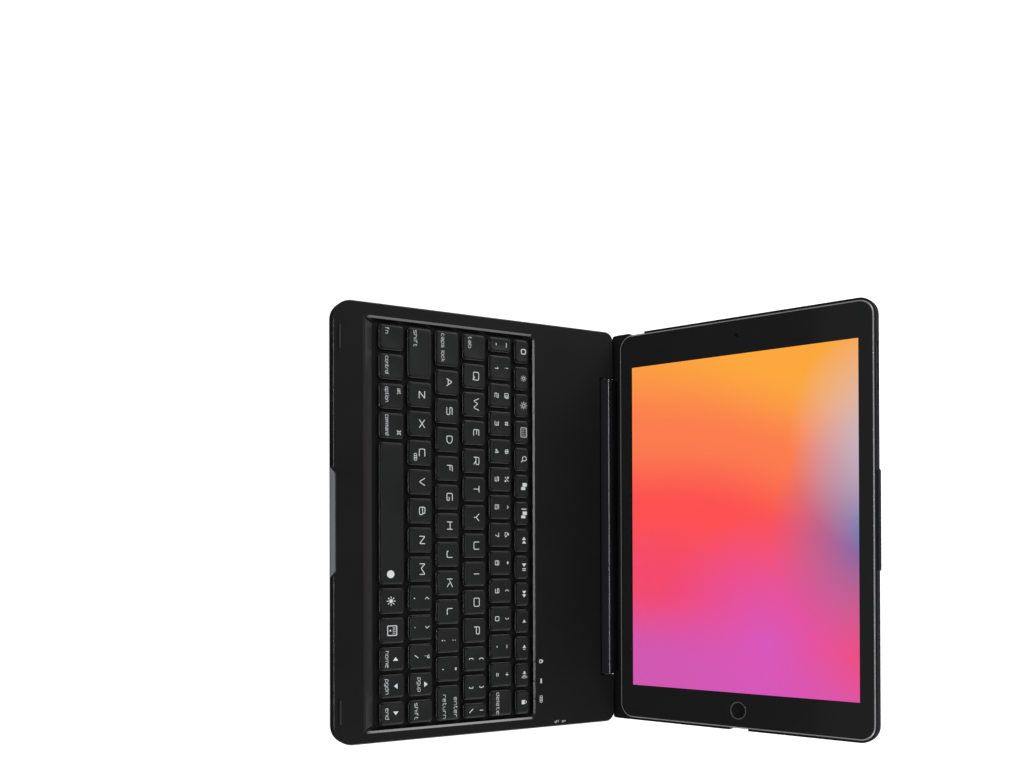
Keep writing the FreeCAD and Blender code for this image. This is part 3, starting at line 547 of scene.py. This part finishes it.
# ---------------------------------------------------------------- lettering
# Each glyph: width, then strokes of two-digit points (x, y); baseline y=2, capitals reach y=9.
# A stroke that ends in "o" is closed.
GLYPHS = {
    "A": (7, "02 39 72 ; 14 64"), "B": (6, "06 56 59 09 02 62 66 56"), "C": (6, "69 09 02 62"),
    "D": (6, "02 09 49 67 64 42 o"), "E": (6, "69 09 02 62 ; 06 56"), "F": (6, "69 09 02 ; 06 56"),
    "G": (6, "69 09 02 62 65 35"), "H": (6, "02 09 ; 69 62 ; 06 66"), "I": (0, "02 09"),
    "J": (5, "59 52 02 04"), "K": (6, "02 09 ; 69 15 ; 35 62"), "L": (5, "09 02 52"),
    "M": (7, "02 09 34 79 72"), "N": (6, "02 09 62 69"), "O": (7, "02 09 79 72 o"),
    "P": (6, "02 09 69 65 05"), "Q": (7, "02 09 79 72 o ; 44 71"), "R": (6, "02 09 69 65 05 ; 35 62"),
    "S": (6, "69 09 06 66 62 02"), "T": (6, "09 69 ; 39 32"), "U": (6, "09 02 62 69"),
    "V": (6, "09 32 69"), "W": (9, "09 22 48 72 99"), "X": (6, "02 69 ; 09 62"),
    "Y": (6, "09 35 69 ; 35 32"), "Z": (6, "09 69 02 62"),
    "0": (6, "02 09 69 62 o"), "1": (3, "17 39 32"), "2": (6, "09 69 66 06 02 62"),
    "3": (6, "09 69 62 02 ; 16 66"), "4": (6, "52 59 04 64"), "5": (6, "69 09 06 66 62 02"),
    "6": (6, "69 09 02 62 66 06"), "7": (6, "09 69 32"), "8": (6, "02 09 69 62 o ; 06 66"),
    "9": (6, "66 06 09 69 62 02"),
    "a": (5, "07 57 52 02 05 55"), "b": (5, "09 02 52 57 07"), "c": (5, "57 07 02 52"),
    "d": (5, "59 52 02 07 57"), "e": (5, "52 02 07 57 55 05"), "f": (4, "49 19 12 ; 07 37"),
    "g": (5, "52 02 07 57 50 00"), "h": (5, "09 02 ; 07 57 52"), "i": (0, "02 07 ; 08 09"),
    "k": (4, "09 02 ; 47 14 ; 24 42"), "l": (0, "02 09"), "m": (8, "02 07 87 82 ; 47 42"),
    "n": (5, "02 07 57 52"), "o": (5, "02 07 57 52 o"), "p": (5, "00 07 57 52 02"),
    "r": (4, "02 07 47"), "s": (5, "57 07 05 54 52 02"), "t": (4, "19 12 42 ; 07 37"),
    "u": (5, "07 02 52 57"), "!": (0, "09 05 ; 03 02"), "@": (7, "64 34 37 67 62 02 09 79 74"),
    "#": (6, "12 29 ; 42 59 ; 04 64 ; 07 67"),
    "$": (6, "68 08 06 66 63 03 ; 39 32"), "%": (7, "02 79 ; 07 09 29 27 o ; 52 54 74 72 o"),
    "^": (4, "06 29 46"), "&": (7, "72 19 49 06 02 52 65"), "*": (4, "06 29 46 ; 28 25 ; 07 47"),
    "(": (2, "29 07 04 22"), ")": (2, "09 27 24 02"), "_": (5, "05 55"), "-": (3, "05 35"),
    "+": (5, "05 55 ; 38 32"), "=": (5, "04 54 ; 07 57"), "{": (3, "39 19 16 05 15 12 32"),
    "}": (3, "09 29 26 35 25 22 02"), "[": (2, "29 09 02 22"), "]": (2, "09 29 22 02"), "|": (0, "02 09"),
    "\\": (4, "09 42"), ":": (0, "07 06 ; 03 02"), ";": (0, "07 06 ; 03 01"), '"': (2, "09 06 ; 29 26"),
    "'": (0, "04 02"), "<": (3, "39 05 32"), ">": (3, "09 35 02"), "?": (5, "08 59 56 26 24 ; 22 21"),
    ",": (1, "13 01"), ".": (0, "02 03"), "/": (4, "02 49"), "~": (5, "05 16 45 56"),
    " ": (3, ""),
}
SPACING = 2.0


def glyph_strokes(letter):
    """The strokes of one glyph as (points, closed)."""
    strokes = []
    for part in GLYPHS[letter][1].split(";"):
        words = part.split()
        closed = bool(words) and words[-1] == "o"
        points = [(int(word[0]), int(word[1]) - 2) for word in words if word != "o"]
        if points:
            strokes.append((points, closed))
    return strokes


def write(builder, text, at, width, height, stroke, lift, thick, align="centre", soft=0.22):
    """Write text with capitals of a height; width is the whole word's, or None for a natural width.

    soft is the corner radius as a share of the height.
    """
    units = sum(GLYPHS[letter][0] for letter in text) + SPACING * (len(text) - 1)
    scale_y = height / 7.0
    scale_x = (width / units) if width and units else scale_y * 1.25
    cursor = at[0] - (units * scale_x / 2 if align == "centre" else 0)
    for letter in text:
        for points, closed in glyph_strokes(letter):
            path = [(cursor + x * scale_x, at[1] + (y - 3.5) * scale_y) for x, y in points]
            path = soften_corners(path, height * soft, closed)
            builder.ribbon(path, stroke, lift, thick, closed)
        cursor += (GLYPHS[letter][0] + SPACING) * scale_x


INK = (0.05, 0.018)


class Pen:
    """Draws marks on one surface: positions are millimetres from a centre."""

    def __init__(self, builder, centre, lift):
        self.builder, self.centre, self.lift = builder, centre, lift

    def shift(self, points):
        return [(self.centre[0] + x, self.centre[1] + y) for x, y in points]

    def text(self, text, x=0.0, y=0.0, width=None, height=3.6, stroke=0.6, align="centre", soft=0.22):
        write(self.builder, text, (self.centre[0] + x, self.centre[1] + y), width, height, stroke,
              self.lift, INK, align, soft)

    def line(self, points, stroke=0.5, closed=False, soft=0.0):
        path = self.shift(points)
        if soft:
            path = soften_corners(path, soft, closed)
        self.builder.ribbon(path, stroke, self.lift, INK, closed)

    def fill(self, points):
        self.builder.prism(self.shift(points), self.lift, INK)

    def ring(self, x, y, radius, stroke=0.5, start=0.0, end=360.0):
        closed = end - start >= 360
        steps = 20
        count = steps if closed else steps + 1
        points = [(x + radius * math.cos(math.radians(start + (end - start) * k / steps)),
                   y + radius * math.sin(math.radians(start + (end - start) * k / steps)))
                  for k in range(count)]
        self.line(points, stroke, closed)

    def disc(self, x, y, radius):
        self.fill([(x + radius * math.cos(k * math.tau / 28), y + radius * math.sin(k * math.tau / 28))
                   for k in range(28)])

    def rays(self, inner, outer, stroke=0.45, count=8):
        for k in range(count):
            turn = k * math.tau / count
            self.line([(inner * math.cos(turn), inner * math.sin(turn)),
                       (outer * math.cos(turn), outer * math.sin(turn))], stroke)

    def frame(self, x, y, width, depth, stroke=0.45, soft=0.5):
        a, b = width / 2, depth / 2
        self.line([(x - a, y - b), (x + a, y - b), (x + a, y + b), (x - a, y + b)], stroke, True, soft)

    def triangle(self, x, y, size, turn):
        """A filled arrowhead; turn 0 points right, 90 up."""
        c, s = math.cos(math.radians(turn)), math.sin(math.radians(turn))
        corners = [(size * 0.5, 0), (-size * 0.5, size * 0.75), (-size * 0.5, -size * 0.75)]
        self.fill([(x + px * c - py * s, y + px * s + py * c) for px, py in corners])

    def chain(self, x, y):
        for link in (-1.3, 0.0, 1.3):
            self.frame(x + link, y, 1.5, 1.7, 0.30, 0.6)

    def speaker(self, x, waves):
        """A horn with sound waves in front of it."""
        self.fill([(x - 1.2, -0.45), (x - 0.5, -0.45), (x + 0.4, -1.3), (x + 0.4, 1.3), (x - 0.5, 0.45),
                   (x - 1.2, 0.45)])
        for k in range(waves):
            self.ring(x + 0.1, 0, 1.3 + 0.85 * k, 0.32, -42, 42)


# ---------------------------------------------------------------- keys
def keys_of(node):
    """(centre x, centre y, width, depth) of each key in a CAD node, in millimetres, left to right."""
    low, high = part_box(node)
    low, high = low / MM, high / MM
    count = GROUPS.get(node, 1)
    pitch = (high.x - low.x + KEY_GAP) / count
    width = pitch - KEY_GAP
    middle, depth = (low.y + high.y) / 2, high.y - low.y
    return [(low.x + pitch * k + width / 2, middle, width, depth) for k in range(count)]


CAP_PROFILE = [  # (inset, height above the skirt's foot)
    (0.00, 0.00), (0.00, 0.16), (0.05, 0.30), (0.16, 0.37), (0.30, 0.38), (0.42, 0.33), (0.52, 0.42),
    (0.62, 0.80), (0.74, 1.30), (0.82, 1.52), (0.94, 1.67), (1.10, 1.76), (1.30, 1.795),
]
PLATEAU_INSET, CAP_TALL = CAP_PROFILE[-1]
DISH_STEPS = (0.93, 0.80, 0.62, 0.42, 0.20)
DISH_DEPTH, LONG_DISH_DEPTH = 0.24, 0.13
LONG_KEY = 40.0
SKIRT_HEIGHT = 0.85
CAP_CORNER, CORNER_SHRINK = 2.0, 0.55    # corner radius of the skirt, and its loss per millimetre of inset
CAP_CEILING, CAP_WALL = 0.95, 0.9


def dish(u, v, depth):
    """The hollow of a dished top; u and v run from -1 to 1 across it."""
    return depth * max(0.0, 1 - u * u) * max(0.0, 1 - v * v)


def cap_surface(key):
    """The height of a key's dished top at a point of the row frame."""
    cx, cy, width, depth = key
    a, b = width / 2 - PLATEAU_INSET, depth / 2 - PLATEAU_INSET
    hollow = LONG_DISH_DEPTH if width > LONG_KEY else DISH_DEPTH
    return lambda x, y: KEY_LOW + CAP_TALL - dish((x - cx) / a, (y - cy) / b, hollow)


def add_cap(builder, key):
    """One closed cap: the ceiling and walls of its hollow, then the outside up to the dished top."""
    cx, cy, width, depth = key
    lift = cap_surface(key)
    per_side = 24 if width > LONG_KEY else 6

    def outline(inset):
        return rounded_outline(width - 2 * inset, depth - 2 * inset, CAP_CORNER - inset * CORNER_SHRINK, 5,
                               per_side)

    def ring(inset, z):
        return [(cx + x, cy + y, z) for x, y in outline(inset)]

    ceiling = KEY_LOW + CAP_CEILING
    rings = [(cx, cy, ceiling), ring(CAP_WALL + 1.5, ceiling), ring(CAP_WALL + 0.1, ceiling),
             ring(CAP_WALL, ceiling - 0.1), ring(CAP_WALL, KEY_LOW)]
    for inset, height in CAP_PROFILE:
        rings.append(ring(inset, KEY_LOW + height))
    plateau = outline(PLATEAU_INSET)
    for scale in DISH_STEPS:
        spots = [(cx + x * scale, cy + y * scale) for x, y in plateau]
        rings.append([(x, y, lift(x, y)) for x, y in spots])
    rings.append((cx, cy, lift(cx, cy)))
    builder.loft(rings)


# The marks' places, sizes and strokes are millimetres from the middle of their key.
def marks_function(pens):
    """The symbols of the function row, left to right."""
    pens[0].frame(0, 0, 2.9, 2.9, 0.6, 0.9)
    pens[1].ring(0, 0, 0.8, 0.34)
    pens[1].rays(1.25, 2.0, 0.30)
    pens[2].ring(0, 0, 1.0, 0.36)
    pens[2].rays(1.5, 2.5, 0.32)
    pens[3].frame(0, 0, 5.9, 3.9, 0.36, 0.6)
    for row in (-1.0, 0.0, 1.0):
        for x in (-1.8, -0.6, 0.6, 1.8):
            pens[3].line([(x - 0.25, row), (x + 0.25, row)], 0.36)
    pens[4].ring(-0.45, 0.45, 1.35, 0.42)
    pens[4].line([(0.55, -0.55), (1.8, -1.8)], 0.55)
    for pen, x in ((pens[5], 0.0), (pens[6], 0.9)):
        pen.fill([(x - 2.1, -0.9), (x + 0.2, -0.9), (x + 0.2, 2.0), (x - 2.1, 2.0)])
        pen.fill([(x + 0.5, -1.9), (x + 2.3, -1.9), (x + 2.3, 1.0), (x + 0.5, 1.0)])
    pens[6].line([(-2.6, -1.7), (-2.6, 1.7)], 0.6)
    for x in (-1.1, 1.1):
        pens[7].triangle(x, 0, 1.9, 180)
        pens[9].triangle(x, 0, 1.9, 0)
    pens[8].triangle(-1.3, 0, 2.1, 0)
    for x in (0.9, 2.0):
        pens[8].line([(x, -1.2), (x, 1.2)], 0.5)
    pens[10].speaker(0.5, 0)
    pens[11].speaker(-0.6, 1)
    pens[12].speaker(-1.2, 3)
    pens[13].fill([(-1.3, -1.9), (1.3, -1.9), (1.3, 0.2), (-1.3, 0.2)])
    pens[13].ring(0, 0.4, 0.85, 0.38, 0, 180)


DOTTED = ":;.,'\""


def marks_pairs(pens, pairs):
    """Two small marks on each key, one above the other."""
    for pen, (upper, lower) in zip(pens, pairs):
        pen.text(upper, 0, 4.0, None, 2.4, 0.62 if upper in DOTTED else 0.36, soft=0.10)
        pen.text(lower, 0, -2.8, None, 2.4, 0.62 if lower in DOTTED else 0.40, soft=0.10)


LETTER_WIDTHS = {"I": 0.1, "W": 7.2, "M": 6.3, "O": 5.0, "Q": 4.8, "E": 3.7, "F": 3.6, "L": 3.8, "J": 3.8,
                 "T": 3.9, "X": 4.9, "K": 4.8}


def marks_letters(pens, letters):
    for pen, letter in zip(pens, letters):
        pen.text(letter, 0, 1.0, LETTER_WIDTHS.get(letter, 4.4), 3.5, 0.44)


def word(pen, text, x, y, width):
    pen.text(text, x, y, width, 2.2, 0.23, "left")


CORNER_WORDS = {
    "fn": ("fn", 3.6), "control": ("control", 10.2), "tab": ("tab", 6.8), "caps_lock": ("caps lock", 16.8),
    "shift_left": ("shift", 9.6), "shift_right": ("shift", 9.6),
}
ARROWS = {"left": (180, "home", 9.4), "down": (270, "pgdn", 8.6), "right": (0, "end", 6.3),
          "up": (90, "pgup", 8.2)}


def marks_single(node, pen, key):
    """The marks on a key that has a node of its own."""
    name = node[len("key_"):]
    half = key[2] / 2
    if name in CORNER_WORDS:
        text, width = CORNER_WORDS[name]
        word(pen, text, -half + 1.7, -3.0, width)
    elif name == "option":
        word(pen, "option", -half + 2.3, -3.0, 8.8)
        word(pen, "alt", -half + 2.8, 4.4, 3.4)
    elif name == "command":
        word(pen, "command", -half + 1.4, -3.0, 11.9)
        pen.frame(4.0, 4.2, 1.3, 1.3, 0.36, 0.2)
        for y, x in itertools.product((3.2, 5.2), (3.0, 5.0)):
            pen.line([(x - 0.3, y), (x + 0.3, y)], 0.5)
    elif name == "space":
        pen.disc(half - 5.9, -1.1, 2.3)
    elif name == "backlight":
        pen.disc(0, -0.8, 1.1)
        for k in range(8):
            turn = math.radians(90 + 45 * k)
            pen.line([(1.5 * math.cos(turn), 1.5 * math.sin(turn) - 0.8),
                      (2.7 * math.cos(turn), 2.7 * math.sin(turn) - 0.8)], 0.45)
    elif name == "hide_keyboard":
        marks_hide_keyboard(pen)
    elif name.startswith("arrow_"):
        turn, text, width = ARROWS[name[len("arrow_"):]]
        upward = turn == 90
        pen.triangle(0, 3.1 if upward else 1.9, 2.2, turn)
        word(pen, text, -width / 2, -0.9 if upward else -3.3, width)
    elif name == "enter":
        word(pen, "enter", half - 13.6, 4.6, 12.0)
        word(pen, "return", half - 15.4, -2.6, 14.0)
    elif name == "delete":
        word(pen, "delete", -half + 1.2, -2.4, 13.4)
    elif name == "backslash":
        pen.text("|", 0, 4.0, None, 2.4, 0.38)
        pen.text("\\", 0, -2.8, 2.4, 2.6, 0.44)
    elif name == "grave":
        pen.text("~", 0, 4.0, 2.8, 3.2, 0.40)
        pen.text("-", 0, -2.8, 1.4, 2.4, 0.44)


def marks_hide_keyboard(pen):
    """A keyboard outline with two rows of keys and an arrowhead below."""
    pen.frame(0, -0.2, 5.6, 5.6, 0.5, 0.4)
    for row in (1.5, 0.5):
        for x in (-1.6, -0.55, 0.55, 1.6):
            pen.line([(x - 0.28, row), (x + 0.28, row)], 0.5)
    pen.triangle(0, -1.5, 1.1, 270)


ROW_MARKS = {
    "keys_numbers": list(zip("!@#$%^&*()_+", "1234567890-=")),
    "keys_upper_letters": "QWERTYUIOP",
    "keys_home_letters": "ASDFGHJKL",
    "keys_lower_letters": "ZXCVBNM",
}
PAIR_MARKS = {
    "keys_upper_letters": [("{", "["), ("}", "]")],
    "keys_home_letters": [(":", ";"), ('"', "'")],
    "keys_lower_letters": [("<", ","), (">", "."), ("?", "/")],
}


FUNCTION_MARKS_RISE = 1.1
HOMING_BAR = (3.4, 0.5, 0.24)    # length, depth, corner radius
HOMING_BAR_FROM_MIDDLE = -4.6


def add_homing_bar(builder, key):
    """The small raised bar that the index fingers feel for."""
    spots = [(key[0] + x, key[1] + HOMING_BAR_FROM_MIDDLE + y) for x, y in rounded_outline(*HOMING_BAR, 4, 4)]
    builder.prism(spots, cap_surface(key), (0.1, 0.16))


def draw_marks(node, keys, builder):
    """The marks on all keys of one node."""
    rise = FUNCTION_MARKS_RISE if node == "keys_function_row" else 0.0
    pens = [Pen(builder, (key[0], key[1] + rise), cap_surface(key)) for key in keys]
    if node == "keys_function_row":
        marks_function(pens)
    elif node == "keys_numbers":
        marks_pairs(pens, ROW_MARKS[node])
    elif node in GROUPS:
        letters = ROW_MARKS[node]
        marks_letters(pens, letters)
        marks_pairs(pens[len(letters):], PAIR_MARKS[node])
    else:
        marks_single(node, pens[0], keys[0])
    if node == "keys_lower_letters":
        pens[ROW_MARKS[node].index("C")].chain(2.6, -3.2)


def build_keys():
    for node in list(GROUPS) + SINGLES:
        keys = keys_of(node)
        caps, marks = Builder(), Builder()
        for key in keys:
            add_cap(caps, key)
        draw_marks(node, keys, marks)
        if node == "keys_home_letters":
            for letter in "FJ":
                add_homing_bar(caps, keys[ROW_MARKS[node].index(letter)])
        cap = mesh_piece(node + "_cap", node, [M["key"], M["skirt"]], caps.points, caps.faces,
                         pick=lambda middle: int(middle.z < KEY_LOW + SKIRT_HEIGHT))
        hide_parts(node)
        mesh_piece(node + "_marks", node, [M["legend"]], marks.points, marks.faces,
                   smooth=False)


# ---------------------------------------------------------------- return domes
DOME_GAP = 0.05
DOME_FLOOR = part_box("rubber_domes")[0].z / MM
DOME_TALL = KEY_LOW + CAP_CEILING - DOME_GAP - DOME_FLOOR
DOME_PROFILE = [  # (radius, share of the height)
    (2.0, 0.0), (2.0, 0.10), (1.86, 0.15), (1.42, 0.66),
    (1.12, 0.80), (0.98, 0.86), (0.95, 0.96), (0.85, 1.0),
]


def add_dome(builder, x, y, count=20):
    """One closed dome, from its foot to its flat top."""
    turns = [k * math.tau / count for k in range(count)]
    rings = [(x, y, DOME_FLOOR)]
    for radius, share in DOME_PROFILE:
        z = DOME_FLOOR + DOME_TALL * share
        rings.append([(x + radius * math.cos(turn), y + radius * math.sin(turn), z) for turn in turns])
    rings.append((x, y, DOME_FLOOR + DOME_TALL))
    builder.loft(rings)


def build_domes():
    """The rubber domes below each joint's keys."""
    for node in list(GROUPS) + SINGLES:
        domes = Builder()
        for x, y, width, depth in keys_of(node):
            add_dome(domes, x, y)
        piece = mesh_piece(node + "_domes", "base", [M["dome"]], domes.points, domes.faces)
        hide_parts("rubber_domes")
        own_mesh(piece)


# ---------------------------------------------------------------- deck marks
def write_sideways(builder, text, x, y, width, lift):
    """A small word that reads from the right side of the case, centred on a point."""
    first = len(builder.points)
    write(builder, text, (0, 0), width, 1.4, 0.20, lift, INK)
    for k in range(first, len(builder.points)):
        along, up, z = builder.points[k]
        builder.points[k] = (x - up, y + along, z)


def build_deck_marks():
    """The printed marks beside the three status lights and the switch."""
    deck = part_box("top_deck")[1].z / MM
    marks = Builder()

    def lift(x, y):
        return deck

    pen = Pen(marks, (0, STATUS_MARKS_Y), lift)
    pen.frame(STATUS_X[0], -0.2, 1.9, 1.6, 0.45, 0.2)
    pen.fill([(STATUS_X[0] - 1.1, 0.8), (STATUS_X[0] + 1.1, 0.8), (STATUS_X[0], 1.7)])
    pen.line([(STATUS_X[1] - 1.5, 0.1), (STATUS_X[1] + 1.5, 0.1)], 0.95)
    pen.chain(STATUS_X[2], 0.1)
    write_sideways(marks, "on", SWITCH_MARKS_X, SWITCH_ON_Y, 2.4, lift)
    write_sideways(marks, "off", SWITCH_MARKS_X, SWITCH_OFF_Y, 3.0, lift)
    mesh_piece("deck_marks", "base", [M["legend"]], marks.points, marks.faces, smooth=False)


# ---------------------------------------------------------------- stage
def area_light(name, at, target, size, power, matte=True, mirrored=True):
    """A soft box; matte and mirrored say whether it lights surfaces and whether it shows in their gloss."""
    data = bpy.data.lights.new(name, "AREA")
    data.shape = "RECTANGLE"
    data.size, data.size_y = size
    data.energy = power
    obj = bpy.data.objects.new(name, data)
    obj.visible_diffuse = matte
    obj.visible_glossy = mirrored
    bpy.context.scene.collection.objects.link(obj)
    obj.location = at
    obj.rotation_mode = "QUATERNION"
    obj.rotation_quaternion = (Vector(target) - Vector(at)).to_track_quat("-Z", "Y")
    return obj


def aim_light(light, names, state):
    """Let a light fall only on some CAD nodes (INCLUDE) or on all but them (EXCLUDE)."""
    group = bpy.data.collections.new(light.name + "_nodes")
    for name in names:
        group.objects.link(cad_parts[name])
    for entry in group.collection_objects:
        entry.light_linking.link_state = state
    light.light_linking.receiver_collection = group


def floor_material():
    """A pale matte table that looks evenly white; the glass mirrors only a faint version of its front."""
    n = Nodes("floor_pale")
    matte = n.add("ShaderNodeBsdfDiffuse")
    n.link(n.blend(n.noise(3.0), (0.88, 0.88, 0.88), (0.91, 0.91, 0.91)), matte.inputs["Color"])
    path = n.add("ShaderNodeLightPath")
    glow = n.add("ShaderNodeEmission")
    n.link(n.maths("MULTIPLY", path.outputs["Is Camera Ray"], 0.82), glow.inputs["Strength"])
    lit = n.add("ShaderNodeAddShader")
    n.link(matte.outputs[0], lit.inputs[0])
    n.link(glow.outputs[0], lit.inputs[1])
    faint = n.add("ShaderNodeEmission")
    faint.inputs["Strength"].default_value = 0.03
    in_front = n.maths("LESS_THAN", n.dot(n.place(), (0, 1, 0)), 0.08)
    choice = n.add("ShaderNodeMixShader")
    n.link(n.maths("MULTIPLY", path.outputs["Is Glossy Ray"], in_front), choice.inputs[0])
    n.link(lit.outputs[0], choice.inputs[1])
    n.link(faint.outputs[0], choice.inputs[2])
    n.link(choice.outputs[0], n.out.inputs["Surface"])
    return n.material


FLOOR_HALF, FLOOR_LOW = 6.0, -0.0002


def build_floor():
    corners = [(-1, -1), (1, -1), (1, 1), (-1, 1)]
    mesh = bpy.data.meshes.new("floor")
    mesh.from_pydata([(x * FLOOR_HALF, y * FLOOR_HALF, FLOOR_LOW) for x, y in corners], [], [(0, 1, 2, 3)])
    floor = bpy.data.objects.new("floor", mesh)
    bpy.context.scene.collection.objects.link(floor)
    mesh.materials.append(floor_material())


def build_world():
    """Dim even light from all round, which the camera itself sees as white."""
    world = bpy.data.worlds.new("studio")
    bpy.context.scene.world = world
    world.use_nodes = True
    tree = world.node_tree
    background = tree.nodes["Background"]
    background.inputs["Color"].default_value = (0.95, 0.97, 1.0, 1.0)
    seen = tree.nodes.new("ShaderNodeLightPath").outputs["Is Camera Ray"]
    strength = tree.nodes.new("ShaderNodeMapRange")
    strength.inputs["To Min"].default_value = 0.20
    strength.inputs["To Max"].default_value = 1.0
    tree.links.new(seen, strength.inputs["Value"])
    tree.links.new(strength.outputs[0], background.inputs["Strength"])


def build_lights():
    """Four soft boxes round the case, and strips that draw the highlights of the recess and the barrel."""
    middle = (0, 0, 0)
    hinge = ["hinge_barrel", "barrel_end_caps"]
    area_light("left_rear_box", (-0.95, 0.65, 0.95), middle, (0.9, 0.8), 3.5)
    area_light("front_box", (-0.1, -1.1, 1.2), middle, (1.0, 0.4), 4, mirrored=False)
    area_light("right_rear_box", (1.0, 0.6, 0.8), middle, (0.9, 0.9), 4.2)
    area_light("back_box", (0.0, 1.2, 1.35), middle, (1.2, 0.5), 5, mirrored=False)
    rear = area_light("rear_rim_strip", (-0.04, -0.90, 0.91), (0, 0.035, 0.01), (0.8, 0.10), 3.2, matte=False)
    aim_light(rear, hinge, "EXCLUDE")
    area_light("right_rim_strip", (-0.79, 0.49, 0.78), (0.119, -0.02, 0.01), (0.35, 0.12), 0.4, matte=False)
    barrel = area_light("barrel_strip", (-0.04, 0.55, 1.15), (0, 0.09, 0.01), (0.8, 0.08), 3.5, matte=False)
    aim_light(barrel, hinge, "INCLUDE")


# ---------------------------------------------------------------- camera
# The camera stands in front of the case and is turned a quarter, so that the lid is at the picture's right.
CAMERA_AT = Vector((0.0226, -0.27495, 0.5995))
CAMERA_RIGHT = Vector((0.003342, 0.858960, 0.512032))
CAMERA_FORWARD = Vector((-0.005607, 0.512043, -0.858942))
LENS = 36.972
SHIFT = (-0.07783, 0.16680)


def drive_shift(data, camera, path, value):
    """Shift the lens only while the camera stands at its own place, so other views stay centred."""
    driver = data.driver_add(path).driver
    driver.type = "SCRIPTED"
    variable = driver.variables.new()
    variable.name = "height"
    variable.type = "TRANSFORMS"
    variable.targets[0].id = camera
    variable.targets[0].transform_type = "LOC_Z"
    variable.targets[0].transform_space = "WORLD_SPACE"
    driver.expression = "%.5f * (abs(height - %.5f) < 0.0001)" % (value, CAMERA_AT.z)


def build_camera():
    data = bpy.data.cameras.new("camera")
    camera = bpy.data.objects.new("camera", data)
    bpy.context.scene.collection.objects.link(camera)
    right, forward = CAMERA_RIGHT.normalized(), CAMERA_FORWARD.normalized()
    up = right.cross(forward)
    turn = Matrix((right, up, -forward)).transposed()
    camera.rotation_mode = "QUATERNION"
    camera.rotation_quaternion = turn.to_quaternion()
    camera.location = CAMERA_AT
    data.sensor_width = 36.0
    data.lens = LENS
    data.clip_start, data.clip_end = 0.01, 50.0
    drive_shift(data, camera, "shift_x", SHIFT[0])
    drive_shift(data, camera, "shift_y", SHIFT[1])
    bpy.context.scene.camera = camera
    bpy.context.scene.view_settings.view_transform = "Standard"


paint_cad()
build_keys()
build_domes()
build_deck_marks()
build_floor()
build_world()
build_lights()
build_camera()

bpy.context.view_layer.update()
